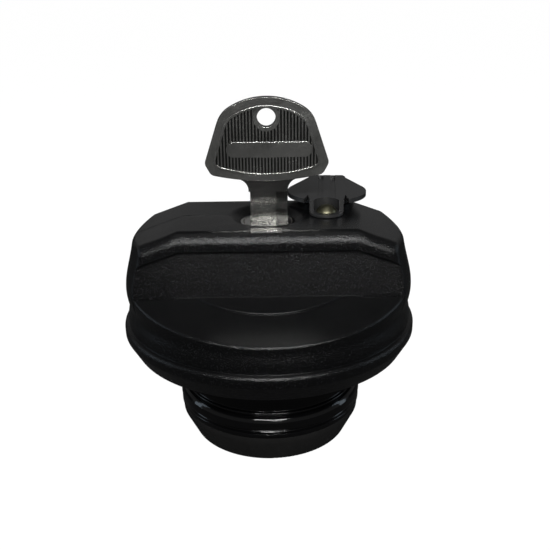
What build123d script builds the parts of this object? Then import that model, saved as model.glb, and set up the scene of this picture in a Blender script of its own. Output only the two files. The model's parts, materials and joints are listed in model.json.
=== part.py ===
from build123d import *
from math import asin, cos, hypot, radians, sin, tan
import os

# Locking fuel filler cap, modelled in millimetres.
# +Z is the axis of the cap and points up. The origin is the centre of the bottom
# face of the plug. The grip bar runs along X. The front of the cap faces -Y.

# ---------------------------------------------------------------- shell, outside
RIM_RADIUS = 38.0               # widest circle of the cap
RIM_EDGE_Z = 26.0               # bottom edge of the shell
RIM_HEIGHT = 6.0                # from the bottom edge to the widest band
BAND_HEIGHT = 1.0               # the widest band
RIM_TAPER = 2.4                 # the rim draws in by this to its bottom edge
BEAD_STEP = 0.4                 # the rim bead stands out from the flank above it
BEAD_HEIGHT = 0.5               # its slope above the band
WAIST_DEPTH = 1.7               # narrow waist between the rim and the bar ends
WAIST_RISE = 5.0                # its height above the band
BULGE_STEP = 0.5                # widest part of the wall above the waist
BULGE_RISE = 2.5                # its height above the waist
MIDDLE_WALL_DRAW = 1.1          # the wall above the bulge leans in by this
MIDDLE_WALL_RISE = 8.5          # at this height above the bulge
TOP_WALL_DRAW = 2.4             # and by this at the height of the grip top
GRIP_RISE = 26.2                # top of the grip above the band
CREASE_RISE = 10.4              # foot of the grip faces above the band
FLOOR_SLOPE = 10.8              # degrees, fall of the shoulder away from the grip
GRIP_HALF_DEPTH = 15.5          # half depth of the bar at its top
GRIP_FOOT_HALF_DEPTH = 16.7     # half depth of the bar at its foot
TOP_FLAT_HALF = 21.6            # half length of the level part of the top
TOP_END_SLOPE = 19.9            # degrees, fall of the top towards the bar ends
LIP_ROLL = 3.2                  # rounding of the long top edges, which form a lip
END_ROUND = 2.0                 # rounding of the ends of the bar
END_EDGE_DEPTH = 8.0            # the end edges lie above this depth under the top
LIP_HEIGHT = 5.0                # lip along the top of the grip face
LIP_SLOPE_HEIGHT = 0.6          # height of the slope under the lip
LIP_ROUND = 1.0                 # rounding of the lower edge of the lip
LIP_COVE = 0.5                  # hollow rounding between the lip and the panel
PANEL_DEPTH = 0.8               # the grip panel lies this far behind the lip
DISC_RADIUS = 24.4              # raised disc round the foot of the bar
DISC_RISE = 0.6
DISC_ROUND = 0.35
EDGE_ROUND = 0.9                # rounding of the shoulder edge
SEAM_WIDTH = 0.3                # fine seam on the left half of the top
SEAM_DEPTH = 0.25

# ---------------------------------------------------------------- shell, inside
WALL = 2.2
RIM_WALL = 1.2                  # wall at the bottom edge of the rim
LEDGE_WIDTH = 1.2               # the shell rides on the closure with this ledge
RIB_WIDTH = 1.8
RIB_SPACING = 20.0              # cross ribs, distance from the axis
RIB_FOOT_RISE = 2.6             # underside of the ribs above the crease
BOSS_WALL = 2.2                 # wall of the tube round the lock housing
SCREW_BOSS_RADIUS = 2.9

# ---------------------------------------------------------------- lock
RECESS_RADIUS = 9.9             # dished recess round the lock
RECESS_DEPTH = 1.6
HOUSING_RADIUS = 6.9
HOUSING_FIT = 0.05              # housing in its tube
HOUSING_WALL = 0.64
ROTOR_CLEARANCE = 0.06          # running fit in the housing
FLANGE_TO_BOSS = 0.7            # housing flange clear of the screw bosses
HOUSING_FLANGE_THICKNESS = 2.0
HOUSING_WEB = 1.2               # floor of the housing under the rotor
HOUSING_RISE = 1.6              # underside of the housing above the closure
EAR_SCREW_Y = 11.8
EAR_HALF_WIDTH = 3.2
TAB_LEFT_X = -4.1               # locating tab that shows in front of the recess
TAB_RIGHT_X = 3.3
TAB_NEAR_Y = -13.7
TAB_FAR_Y = -11.2
TAB_ARM = 2.4                   # thickness of the arm under the tab
TAB_FIT = 0.05
KEYWAY_CLEARANCE = 0.12
WAFER_COUNT = 5
FIRST_WAFER_RISE = 2.3          # lowest wafer above the key tip
LAST_WAFER_DEPTH = 4.4          # highest wafer below the lock face
WAFER_THICKNESS = 1.3
WAFER_DEPTH = 4.6
WAFER_LUG_LEFT_X = -1.0         # lug beside the plate that the spring pushes
WAFER_LUG_RIGHT_X = 0.0
WAFER_LUG_Y = 4.1
WAFER_SWING = 0.4               # room for the wafer's travel behind the lug
SPRING_SPACE = 1.6
WAFER_FIT = 0.1
SPRING_WIRE_SMALL = 0.22
WAFER_SPRING_RADIUS = 0.5
TAIL_RADIUS = 3.4
TAIL_CLEARANCE = 0.08
CLIP_THICKNESS = 0.6
CLIP_RADIUS = 4.9
CLIP_GROOVE_RADIUS = 2.7
CLIP_PLAY = 0.12
CAM_RADIUS = 4.8
CAM_GAP = 0.3                   # under the clip
CAM_THICKNESS = 1.4
CAM_SQUARE = 4.0
CAM_SCREW_RADIUS = 1.0
CAM_SCREW_LENGTH = 4.6
CAM_SCREW_HEAD_RADIUS = 1.7
PIN_RADIUS = 1.2
PIN_OFFSET = 3.0                # eccentricity of the drive pin
PIN_LENGTH = 2.6
QUARTER = 90.0                  # degrees the rotor turns

# ---------------------------------------------------------------- key
BLADE_LEFT_X = -4.33
BLADE_RIGHT_X = 5.15
FRONT_STEP_X = 2.2              # the front of the blade is milled back from here
BACK_STEP_X = -1.4              # and the back is milled back up to here
BLADE_WEB = 0.7                 # thickness left between the two milled steps
BLADE_THICKNESS = 2.0
BLADE_TIP_GAP = 0.98            # under the tip of the blade in the rotor
SHOULDER_RISE = 6.25            # shoulder of the key above the grip top
NECK_LEFT_X = -4.7
NECK_ROUND = 3.0
BLADE_TIP_RISE = 2.0
BLADE_TIP_SLOPE = 1.6
NECK_LENGTH = 2.85              # from the shoulder to the lowest point of the bow
BOW_HEIGHT = 20.5
BOW_THICKNESS = 2.6
BOW_HALF_WIDTH = 15.45
BOW_WIDEST_RISE = 4.5           # heights above the lowest point of the bow
BOW_SHOULDER_HALF_WIDTH = 11.5
BOW_SHOULDER_RISE = 16.3
BOW_SHOULDER_ROUND = 7.0
BOW_FOOT_HALF_WIDTH = 13.9
BOW_FOOT_RISE = 1.6
BOW_FOOT_ROUND = 1.9
BOW_BORDER = 2.0
FIELD_FOOT_RISE = 1.3           # lowest point of the ribbed field
FIELD_SINK = 0.45
FIELD_RIB_PITCH = 0.8
FIELD_RIB_WIDTH = 0.4
FIELD_RIB_RISE = 0.35
FIELD_BEAD_WIDTH = 0.5
FIELD_BEAD_RISE = 0.15
PAD_LEFT_X = -10.0
PAD_RIGHT_X = 11.2
PAD_RISE = 5.9
PAD_HEIGHT = 3.8
RING_HOLE_DEPTH = 4.9           # its centre below the top of the bow
RING_HOLE_RADIUS = 2.3
RING_HOLE_LAND = 1.0
CUT_DEPTHS = (0.5, 0.9, 0.4, 1.0, 0.6)
CUT_FLAT = 0.9                  # flat bottom of a key cut

# ---------------------------------------------------------------- dust cover
COVER_PIVOT_X = 15.0
COVER_REST_ANGLE = 85.4         # degrees from +X, direction of the open cover
COVER_HUB_RADIUS = 4.3
COVER_HUB_BORE = 3.2
COVER_THICKNESS = 1.4
COVER_RISE = 2.0                # underside of the cover above the grip top
COVER_GAP = 0.1                 # hub above the grip top
COVER_FLOOR = 0.6
COVER_DISC_RADIUS = 10.5
COVER_DISC_CENTRE = 11.6        # along the cover from the pivot
COVER_REACH = 28.2
COVER_TIP_HALF_WIDTH = 4.1
COVER_BAND_HALF_WIDTH = 5.2     # raised middle band
COVER_BAND_RISE = 0.25
COVER_NOTCH_HALF_WIDTH = 4.85
COVER_NOTCH_DEPTH = 5.8
COVER_ARM_HALF_WIDTH = 4.3
GROOVE_OFFSET = 1.65
GROOVE_WIDTH = 1.35
GROOVE_DEPTH = 0.35
COVER_TIP_WALL = 0.8            # the grooves stop this far from the tip
COVER_SLOT_LENGTH = 6.0         # deep ends of the grooves
COVER_SLOT_DEPTH = 1.0
COVER_NOTCH_MOUTH = 1.75        # the notches open by this towards the hub
SPIGOT_RADIUS = 7.8             # rim under the cover that closes the recess
SPIGOT_WALL = 1.2
SPIGOT_GAP = 0.2
RIVET_RADIUS = 1.5
RIVET_HEAD_GAP = 0.05           # over the floor of the hub
RIVET_HEAD_RADIUS = 2.75
RIVET_HEAD_HEIGHT = 1.75
RIVET_CLEARANCE = 0.08
RIVET_TAIL_RADIUS = 2.6
RIVET_TAIL_HEIGHT = 1.0
RIVET_BOSS_LENGTH = 1.2

# ---------------------------------------------------------------- bolt and clutch
RING_SEAT = 1.8                 # wall of the plug outside the coupling ring
RING_WIDTH = 3.5
RING_HEIGHT = 6.4
NOTCH_COUNT = 12
NOTCH_FLOOR = 0.7               # wall outside the notches
NOTCH_RISE = 2.2                # floor of the notches above the ring's underside
BOLT_WIDTH = 6.0
NOTCH_SIDE_CLEARANCE = 0.4
BOLT_THICKNESS = 2.2
BOLT_TOP_GAP = 0.4              # under the cam
BOLT_REST_GAP = 1.8             # end of the bolt, drawn back, inside the ring
BOLT_TAIL_X = 8.0
BOLT_NOSE_ROUND = 0.5
BOLT_SLOT_CLEARANCE = 0.2
BOLT_PAD_WALL = 2.2             # of the pad on each side of the slot
BOLT_PAD_END = 1.2              # and behind it
PAD_WAY = 0.5                   # room for the pad between the rails, at each end
GUIDE_TO_RING = 0.6             # guide inside the coupling ring
GUIDE_THICKNESS = 1.6
GUIDE_GAP = 0.2                 # under the bolt
RAIL_CLEARANCE = 0.15
RAIL_WIDTH = 2.0
RAIL_TOP_GAP = 0.1              # rails below the top of the bolt
RAIL_END = 0.4                  # rails inside the edge of the guide
COLUMN_INSET = 3.4              # guide columns, from the edge of the guide
COLUMN_GAP = 0.5                # columns end below the housing
SCREW_RADIUS = 1.25
SCREW_HEAD_RADIUS = 2.3
SCREW_HEAD_HEIGHT = 1.6
SCREW_GRIP = 7.5                # length of a screw in its boss
SCREW_SLOT = 0.7

# ---------------------------------------------------------------- inner closure
CLOSURE_CLEARANCE = 0.4         # closure in the bore of the shell
FLANGE_RISE = 7.6               # underside of the flange above the rim edge
FLANGE_THICKNESS = 1.8
LEDGE_GAP = 0.3                 # shell ledge above the flange
FLANGE_LIP = 1.6                # the flange stands out from the skirt
SKIRT_WALL = 2.0
SKIRT_REACH = 2.6               # the skirt stands out below the rim edge
THREAD_HEIGHT = 1.1
THREAD_PITCH = 4.0
THREAD_WIDTH = 1.8              # at its root
THREAD_CREST = 0.8
THREAD_TURNS = 1.4
THREAD_START = 1.5              # above the edge of the skirt
THREAD_SINK = 0.4               # root buried in the skirt
PLUG_RADIUS = 22.5
PLUG_LOW_Z = 8.0
PLUG_WALL = 3.3
COLLAR_RISE = 0.6               # bead on the plug above the seal
COLLAR_GAP = 0.05               # above the seal
COLLAR_HEIGHT = 1.0
GASKET_THICKNESS = 1.6
RETAINER_LAP = 1.0              # the ring reaches under the flange by this
RETAINER_SEAT = 1.0             # and into the wall of the shell by this
RETAINER_THICKNESS = 1.2
RETAINER_GAP = 0.4              # under the flange
RETAINER_SPLIT = 6.0
GROOVE_CLEARANCE = 0.1

# ---------------------------------------------------------------- seal and cup
SEAL_THICKNESS = 1.9
SEAL_LOW_RIB_DROP = 0.1         # the lower rib is this much smaller
SEAL_WAIST_DEPTH = 0.8
SEAL_EDGE_DEPTH = 0.4
SEAL_HEIGHT = 5.9
SEAL_LOW_RIB_RISE = 0.8         # centre of the lower rib above the edge of the seal
SEAL_HIGH_RIB_RISE = 3.6        # centre of the upper rib
SEAL_LOW_RIB_FLAT = 1.0
SEAL_HIGH_RIB_FLAT = 2.0
SEAL_WAIST_RISE = 1.95
SEAL_WAIST_FLAT = 0.3
SEAL_TOP_CHAMFER = 0.5
CUP_CONE_DRAW = 3.0             # the cup narrows by this to its bottom face
CUP_BAND = 1.8                  # straight band of the cup under the seal
CUP_EDGE_ROUND = 0.4
CUP_FLOOR = 1.6
CUP_WALL = 2.4
CUP_SPIGOT_HEIGHT = 4.0
CUP_SPIGOT_WALL = 1.6
CUP_SPIGOT_FIT = 0.05
VENT_COUNT = 6
VENT_RADIUS = 1.6
VENT_CENTRE = 10.0

# ---------------------------------------------------------------- valves
SEAT_RISE = 8.0                 # partition with the valve seat, above the plug's edge
SEAT_THICKNESS = 1.6
SEAT_BORE = 6.0
PAD_THICKNESS = 0.8
PAD_OUTER_RADIUS = 7.8
PAD_INNER_RADIUS = 5.5
DISC_THICKNESS = 1.2
VALVE_RADIUS = 8.2
VALVE_NOSE_RADIUS = 5.2
VALVE_NOSE_BORE = 3.4
NOSE_REACH = 0.5                # nose of the valve below the top of the partition
SPRING_SEAT_RADIUS = 4.9
SPRING_SEAT_WALL = 0.6
SPRING_SEAT_HEIGHT = 1.4
STEM_RADIUS = 0.9
STEM_CLEARANCE = 0.1
STEM_COLLAR_RADIUS = 2.3
STEM_COLLAR_HEIGHT = 0.6
STEM_COLLAR_RISE = 3.0          # underside of the collar above the valve
AIR_HOLE_RADIUS = 0.7
AIR_HOLE_CENTRE = 2.3
VACUUM_RADIUS = 4.5
VACUUM_THICKNESS = 0.9
PRESSURE_COIL_RADIUS = 6.0
PRESSURE_WIRE = 0.9
PRESSURE_TURNS = 4.0
VACUUM_COIL_RADIUS = 1.6
VACUUM_WIRE = 0.3
VACUUM_TURNS = 5.0
CAGE_GAP = 0.58                 # cage below the heads of the guide screws
CAGE_ROOF = 1.4
CAGE_WALL = 1.4
CAGE_FOOT_GAP = 1.6             # foot of the cage inside the plug
CAGE_FOOT_THICKNESS = 1.6
CAGE_WINDOW = 7.0
CAGE_WINDOW_MARGIN = 0.8        # wall left above and below a window
CAGE_SCREW_INSET = 2.4          # screws, from the edge of the foot
CAGE_TO_SCREW = 2.6             # wall of the cage, from the screws
CAGE_SCREW_COUNT = 3
CAGE_SCREW_RADIUS = 1.0
CAGE_SCREW_HEAD_RADIUS = 1.8
CAGE_SCREW_HEAD_HEIGHT = 1.2
CAGE_SCREW_GRIP = 3.6
CAGE_BOSS_RADIUS = 2.2
CAGE_BOSS_LENGTH = 3.0

# ---------------------------------------------------------------- derived sizes
RIM_EDGE_RADIUS = RIM_RADIUS - RIM_TAPER
WAIST_RADIUS = RIM_RADIUS - WAIST_DEPTH
BULGE_RADIUS = WAIST_RADIUS + BULGE_STEP
MIDDLE_WALL_RADIUS = BULGE_RADIUS - MIDDLE_WALL_DRAW
TOP_WALL_RADIUS = BULGE_RADIUS - TOP_WALL_DRAW
CLOSURE_BORE_RADIUS = RIM_EDGE_RADIUS - RIM_WALL
LEDGE_RADIUS = CLOSURE_BORE_RADIUS - LEDGE_WIDTH
FLANGE_RADIUS = CLOSURE_BORE_RADIUS - CLOSURE_CLEARANCE
SKIRT_OUTER_RADIUS = FLANGE_RADIUS - FLANGE_LIP
SKIRT_INNER_RADIUS = SKIRT_OUTER_RADIUS - SKIRT_WALL
RETAINER_INNER_RADIUS = FLANGE_RADIUS - RETAINER_LAP
RETAINER_OUTER_RADIUS = CLOSURE_BORE_RADIUS + RETAINER_SEAT
PLUG_BORE_RADIUS = PLUG_RADIUS - PLUG_WALL
COLLAR_RADIUS = PLUG_RADIUS + COLLAR_RISE
SEAL_RADIUS = PLUG_RADIUS + SEAL_THICKNESS
SEAL_LOW_RADIUS = SEAL_RADIUS - SEAL_LOW_RIB_DROP
SEAL_WAIST_RADIUS = SEAL_RADIUS - SEAL_WAIST_DEPTH
SEAL_EDGE_RADIUS = SEAL_RADIUS - SEAL_EDGE_DEPTH
CUP_TOP_RADIUS = SEAL_EDGE_RADIUS
CUP_BOTTOM_RADIUS = CUP_TOP_RADIUS - CUP_CONE_DRAW
RING_OUTER_RADIUS = PLUG_RADIUS - RING_SEAT
RING_INNER_RADIUS = RING_OUTER_RADIUS - RING_WIDTH
NOTCH_RADIUS = RING_OUTER_RADIUS - NOTCH_FLOOR
BOLT_REST_RADIUS = RING_INNER_RADIUS - BOLT_REST_GAP
GUIDE_RADIUS = RING_INNER_RADIUS - GUIDE_TO_RING
COLUMN_CENTRE = GUIDE_RADIUS - COLUMN_INSET
CAGE_FOOT_RADIUS = PLUG_BORE_RADIUS - CAGE_FOOT_GAP
CAGE_SCREW_CENTRE = CAGE_FOOT_RADIUS - CAGE_SCREW_INSET
CAGE_RADIUS = CAGE_SCREW_CENTRE - CAGE_TO_SCREW
RIM_LOW_Z = RIM_EDGE_Z + RIM_HEIGHT
RIM_HIGH_Z = RIM_LOW_Z + BAND_HEIGHT
BEAD_TOP_Z = RIM_HIGH_Z + BEAD_HEIGHT
WAIST_Z = RIM_HIGH_Z + WAIST_RISE
BULGE_Z = WAIST_Z + BULGE_RISE
MIDDLE_WALL_Z = BULGE_Z + MIDDLE_WALL_RISE
GRIP_TOP_Z = RIM_HIGH_Z + GRIP_RISE
CREASE_Z = RIM_HIGH_Z + CREASE_RISE
RIB_LOW_Z = CREASE_Z + RIB_FOOT_RISE
END_EDGE_LOW_Z = GRIP_TOP_Z - END_EDGE_DEPTH
FLANGE_LOW_Z = RIM_EDGE_Z + FLANGE_RISE
FLANGE_HIGH_Z = FLANGE_LOW_Z + FLANGE_THICKNESS
SKIRT_LOW_Z = RIM_EDGE_Z - SKIRT_REACH
THREAD_LOW_Z = SKIRT_LOW_Z + THREAD_START
RING_LOW_Z = FLANGE_HIGH_Z - RING_HEIGHT
NOTCH_LOW_Z = RING_LOW_Z + NOTCH_RISE
HOUSING_LOW_Z = FLANGE_HIGH_Z + HOUSING_RISE
COLUMN_TOP_Z = HOUSING_LOW_Z - COLUMN_GAP
HOUSING_FLANGE_RADIUS = COLUMN_CENTRE - SCREW_BOSS_RADIUS - FLANGE_TO_BOSS
LOCK_FACE_Z = GRIP_TOP_Z - RECESS_DEPTH
HOUSING_BORE_RADIUS = HOUSING_RADIUS - HOUSING_WALL
ROTOR_RADIUS = HOUSING_BORE_RADIUS - ROTOR_CLEARANCE
ROTOR_LOW_Z = HOUSING_LOW_Z + HOUSING_WEB + CLIP_PLAY
BLADE_TIP_Z = ROTOR_LOW_Z + BLADE_TIP_GAP
FIRST_WAFER_Z = BLADE_TIP_Z + FIRST_WAFER_RISE
WAFER_PITCH = (LOCK_FACE_Z - LAST_WAFER_DEPTH - FIRST_WAFER_Z) / (WAFER_COUNT - 1)
SHOULDER_Z = GRIP_TOP_Z + SHOULDER_RISE
BOW_BELLY_Z = SHOULDER_Z + NECK_LENGTH
BOW_TOP_Z = BOW_BELLY_Z + BOW_HEIGHT
BOW_WIDEST_Z = BOW_BELLY_Z + BOW_WIDEST_RISE
BOW_SHOULDER_Z = BOW_BELLY_Z + BOW_SHOULDER_RISE
BOW_FOOT_Z = BOW_BELLY_Z + BOW_FOOT_RISE
FIELD_FOOT_Z = BOW_BELLY_Z + FIELD_FOOT_RISE
PAD_LOW_Z = BOW_BELLY_Z + PAD_RISE
PAD_HIGH_Z = PAD_LOW_Z + PAD_HEIGHT
RING_HOLE_Z = BOW_TOP_Z - RING_HOLE_DEPTH
CLIP_HIGH_Z = HOUSING_LOW_Z - CLIP_PLAY
CLIP_LOW_Z = CLIP_HIGH_Z - CLIP_THICKNESS
CAM_HIGH_Z = CLIP_LOW_Z - CAM_GAP
CAM_LOW_Z = CAM_HIGH_Z - CAM_THICKNESS
PIN_LOW_Z = CAM_LOW_Z - PIN_LENGTH
PIN_REST_ANGLE = 90.0 - QUARTER / 2
BOLT_TRAVEL = 2 * PIN_OFFSET * sin(radians(QUARTER / 2))
BOLT_HIGH_Z = CAM_LOW_Z - BOLT_TOP_GAP
BOLT_LOW_Z = BOLT_HIGH_Z - BOLT_THICKNESS
GUIDE_HIGH_Z = BOLT_LOW_Z - GUIDE_GAP
GUIDE_LOW_Z = GUIDE_HIGH_Z - GUIDE_THICKNESS
LEDGE_Z = FLANGE_HIGH_Z + LEDGE_GAP
RETAINER_HIGH_Z = FLANGE_LOW_Z - RETAINER_GAP
RETAINER_LOW_Z = RETAINER_HIGH_Z - RETAINER_THICKNESS
COVER_LOW_Z = GRIP_TOP_Z + COVER_RISE
COVER_TOP_Z = COVER_LOW_Z + COVER_THICKNESS
HUB_LOW_Z = GRIP_TOP_Z + COVER_GAP
HUB_FLOOR_Z = HUB_LOW_Z + COVER_FLOOR
RIVET_HEAD_Z = HUB_FLOOR_Z + RIVET_HEAD_GAP
CUP_TOP_Z = PLUG_LOW_Z
CUP_CONE_Z = CUP_TOP_Z - CUP_BAND
SEAL_HIGH_Z = PLUG_LOW_Z + SEAL_HEIGHT
SEAL_LOW_RIB_Z = PLUG_LOW_Z + SEAL_LOW_RIB_RISE
SEAL_HIGH_RIB_Z = PLUG_LOW_Z + SEAL_HIGH_RIB_RISE
SEAL_WAIST_Z = PLUG_LOW_Z + SEAL_WAIST_RISE
COLLAR_LOW_Z = SEAL_HIGH_Z + COLLAR_GAP
SEAT_LOW_Z = PLUG_LOW_Z + SEAT_RISE
SEAT_HIGH_Z = SEAT_LOW_Z + SEAT_THICKNESS
PAD_TOP_Z = SEAT_HIGH_Z + PAD_THICKNESS
VALVE_NOSE_Z = SEAT_HIGH_Z - NOSE_REACH
VALVE_TOP_Z = PAD_TOP_Z + DISC_THICKNESS
STEM_COLLAR_Z = VALVE_TOP_Z + STEM_COLLAR_RISE
CAGE_TOP_Z = GUIDE_LOW_Z - SCREW_HEAD_HEIGHT - CAGE_GAP
FAR = 2 * RIM_RADIUS            # longer than the cap in any direction


def export(shape, name):
    export_step(shape, f"parts/{name}.step")


def ring(outer, inner, low, high):
    """A plain ring round Z."""
    height = high - low
    body = Pos(0, 0, low + height / 2) * Cylinder(outer, height)
    return body - Pos(0, 0, low + height / 2) * Cylinder(inner, height)


def disc(radius, low, high, x=0.0, y=0.0):
    """A plain cylinder along Z between two heights."""
    return Pos(x, y, (low + high) / 2) * Cylinder(radius, high - low)


def block(x0, x1, y0, y1, z0, z1):
    """A box given by its corners."""
    centre = Pos((x0 + x1) / 2, (y0 + y1) / 2, (z0 + z1) / 2)
    return centre * Box(x1 - x0, y1 - y0, z1 - z0)


def turned(points):
    """A solid of revolution round Z from (radius, height) points."""
    profile = make_face(Plane.XZ * Polyline(*points, close=True))
    return revolve(profile, Axis.Z, 360)


def along_x(points, half_length):
    """A prism along X from (y, z) points."""
    face = make_face(Plane.YZ * Polyline(*points, close=True))
    return extrude(face, amount=half_length, both=True)


def along_y(points, half_length):
    """A prism along Y from (x, z) points."""
    face = make_face(Plane.XZ * Polyline(*points, close=True))
    return extrude(face, amount=half_length, both=True)


def polar(count, first=0.0):
    """Angles in degrees of a ring of equally spaced features."""
    return [first + 360.0 * i / count for i in range(count)]


def coil(radius, wire, low, high, turns):
    """A helical spring whose wire lies between two heights."""
    rise = high - low - 2 * wire
    path = Helix(pitch=rise / turns, height=rise, radius=radius)
    start = Plane(origin=path @ 0, z_dir=path % 0)
    spring = sweep(start * Circle(wire / 2), path=path, is_frenet=True)
    return Pos(0, 0, low + wire) * spring


def screw(x, y, head_low, head_high, tip, radius, head_radius):
    """A pan-head screw that points up, with a slot in its head."""
    body = disc(head_radius, head_low, head_high, x, y)
    body += disc(radius, head_high, tip, x, y)
    depth = (head_high - head_low) / 2
    slot = block(x - head_radius, x + head_radius, y - SCREW_SLOT / 2, y + SCREW_SLOT / 2,
                 head_low, head_low + depth)
    return body - slot


# ---------------------------------------------------------------- cap shell
def top_outline(drop, low):
    """Points (x, z) of the bent top line, lowered by drop and closed at height low."""
    fall = (FAR - TOP_FLAT_HALF) * tan(radians(TOP_END_SLOPE))
    high = GRIP_TOP_Z - drop
    return [(-FAR, low), (-FAR, high - fall), (-TOP_FLAT_HALF, high),
            (TOP_FLAT_HALF, high), (FAR, high - fall), (FAR, low)]


def bar_points(inset, low):
    """Points (y, z) of the section of the grip bar, drawn in by inset."""
    lean = (GRIP_FOOT_HALF_DEPTH - GRIP_HALF_DEPTH) / (GRIP_TOP_Z - CREASE_Z)
    top = GRIP_HALF_DEPTH - inset
    foot = top + lean * (GRIP_TOP_Z - low)
    return [(-foot, low), (-top, GRIP_TOP_Z), (top, GRIP_TOP_Z), (foot, low)]


def shell_wall(inset):
    """The turned outer form of the shell, drawn in by inset."""
    rim = Polyline((0, RIM_EDGE_Z), (RIM_EDGE_RADIUS - inset, RIM_EDGE_Z),
                   (RIM_RADIUS - BEAD_STEP / 2 - inset, RIM_LOW_Z - BEAD_STEP),
                   (RIM_RADIUS - inset, RIM_LOW_Z), (RIM_RADIUS - inset, RIM_HIGH_Z),
                   (RIM_RADIUS - BEAD_STEP - inset, BEAD_TOP_Z))
    flank = Spline((RIM_RADIUS - BEAD_STEP - inset, BEAD_TOP_Z), (WAIST_RADIUS - inset, WAIST_Z),
                   (BULGE_RADIUS - inset, BULGE_Z), (MIDDLE_WALL_RADIUS - inset, MIDDLE_WALL_Z),
                   (TOP_WALL_RADIUS - inset, GRIP_TOP_Z))
    close = Polyline(flank @ 1, (0, GRIP_TOP_Z), (0, RIM_EDGE_Z))
    return revolve(make_face(Plane.XZ * (Curve() + [rim, flank, close])), Axis.Z, 360)


def slope_prism(side, drop):
    """Everything below the shoulder plane of one side, which lies drop lower."""
    high = CREASE_Z - drop
    rise = (FAR + GRIP_FOOT_HALF_DEPTH) * tan(radians(FLOOR_SLOPE))
    fall = (FAR - GRIP_FOOT_HALF_DEPTH) * tan(radians(FLOOR_SLOPE))
    return along_x([(side * FAR, 0), (side * FAR, high - fall), (-side * FAR, high + rise),
                    (-side * FAR, 0)], FAR)


def side_half(side, low, high):
    """The half of space in front of the middle plane (side -1) or behind it (side 1)."""
    return block(-FAR, FAR, min(0, side * FAR), max(0, side * FAR), low, high)


def shoulder(side):
    """One sloping shoulder with its rounded edge and the raised disc on it."""
    body = shell_wall(0) & slope_prism(side, 0)
    floor = body.faces().filter_by(GeomType.PLANE).sort_by(Axis.Z)[-1]
    body = fillet(floor.edges(), EDGE_ROUND)
    raised = disc(DISC_RADIUS, RIM_HIGH_Z, GRIP_TOP_Z) & slope_prism(side, -DISC_RISE)
    floor = raised.faces().filter_by(GeomType.PLANE).sort_by(Axis.Z)[-1]
    raised = fillet(floor.edges(), DISC_ROUND)
    return (body + raised) & side_half(side, 0, GRIP_TOP_Z)


def sheared(section):
    """A section (y, z) run along the bar: level in the middle, falling with the ends."""
    face = Plane.YZ * section
    body = extrude(face, amount=TOP_FLAT_HALF, both=True)
    fall = radians(TOP_END_SLOPE)
    for side in (-1, 1):
        start = Pos(side * TOP_FLAT_HALF, 0, 0) * face
        body += extrude(start, amount=FAR, dir=(side * cos(fall), 0, -sin(fall)))
    return body


def grip_bar():
    """The grip bar with its rolled top edges and rounded ends."""
    section = make_face(Polyline(*bar_points(0, RIM_LOW_Z), close=True))
    top_corners = section.vertices().filter_by(lambda v: v.Y > GRIP_TOP_Z - 0.1)
    bar = shell_wall(0) & sheared(fillet(top_corners, LIP_ROLL))
    ends = [e for e in bar.edges() if on_wall(e) and (e @ 0.5).Z > END_EDGE_LOW_Z]
    return fillet(ends, END_ROUND) & block(-FAR, FAR, -FAR, FAR, WAIST_Z, FAR)


def on_wall(edge):
    """Whether an edge of the bar lies on the outer wall, at its ends and its middle."""
    near = TOP_WALL_RADIUS - RIM_WALL / 2
    return all(hypot((edge @ t).X, (edge @ t).Y) > near for t in (0, 0.5, 1))


def shell_form():
    """The outer form: two shoulders with the grip bar between them."""
    return shoulder(-1) + shoulder(1) + grip_bar()


def panel_cut(side):
    """The cut behind the lip: deep under the lip, nothing at the crease."""
    lip_z = GRIP_TOP_Z - LIP_HEIGHT
    lean = (GRIP_FOOT_HALF_DEPTH - GRIP_HALF_DEPTH) / (GRIP_TOP_Z - CREASE_Z)
    lip_y = GRIP_HALF_DEPTH + lean * LIP_HEIGHT
    slope_z = lip_z + LIP_SLOPE_HEIGHT
    outside = GRIP_FOOT_HALF_DEPTH + PANEL_DEPTH
    section = make_face(Polyline(
        (GRIP_FOOT_HALF_DEPTH, CREASE_Z), (lip_y - PANEL_DEPTH, lip_z), (lip_y, slope_z),
        (lip_y, slope_z + LIP_ROUND), (outside, slope_z + LIP_ROUND), (outside, CREASE_Z),
        close=True))
    low_corner = section.vertices().filter_by(lambda v: abs(v.Y - slope_z) < 0.01)
    section = fillet(low_corner, LIP_ROUND)
    high_corner = section.vertices().filter_by(lambda v: abs(v.Y - lip_z) < 0.01)
    section = fillet(high_corner, LIP_COVE)
    if side < 0:
        section = mirror(section, about=Plane.YZ)
    return sheared(section)


def shell_cavity():
    """The hollow of the shell with the bore for the closure below it."""
    ledge = disc(LEDGE_RADIUS, RIM_EDGE_Z, GRIP_TOP_Z)
    wall = shell_wall(WALL) & ledge
    front = wall & slope_prism(-1, WALL) & side_half(-1, 0, GRIP_TOP_Z)
    back = wall & slope_prism(1, WALL) & side_half(1, 0, GRIP_TOP_Z)
    bar = wall & along_x(bar_points(WALL, RIM_EDGE_Z), FAR) & along_y(top_outline(WALL, 0), FAR)
    bore = disc(CLOSURE_BORE_RADIUS, RIM_EDGE_Z - 1, LEDGE_Z)
    groove = disc(RETAINER_OUTER_RADIUS + GROOVE_CLEARANCE,
                  RETAINER_LOW_Z - GROOVE_CLEARANCE, RETAINER_HIGH_Z + GROOVE_CLEARANCE)
    return front + back + bar + bore + groove


def column_places():
    """Centres of the four guide columns."""
    reach = COLUMN_CENTRE * sin(radians(45))
    return [(sx * reach, sy * reach) for sx in (-1, 1) for sy in (-1, 1)]


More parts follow.
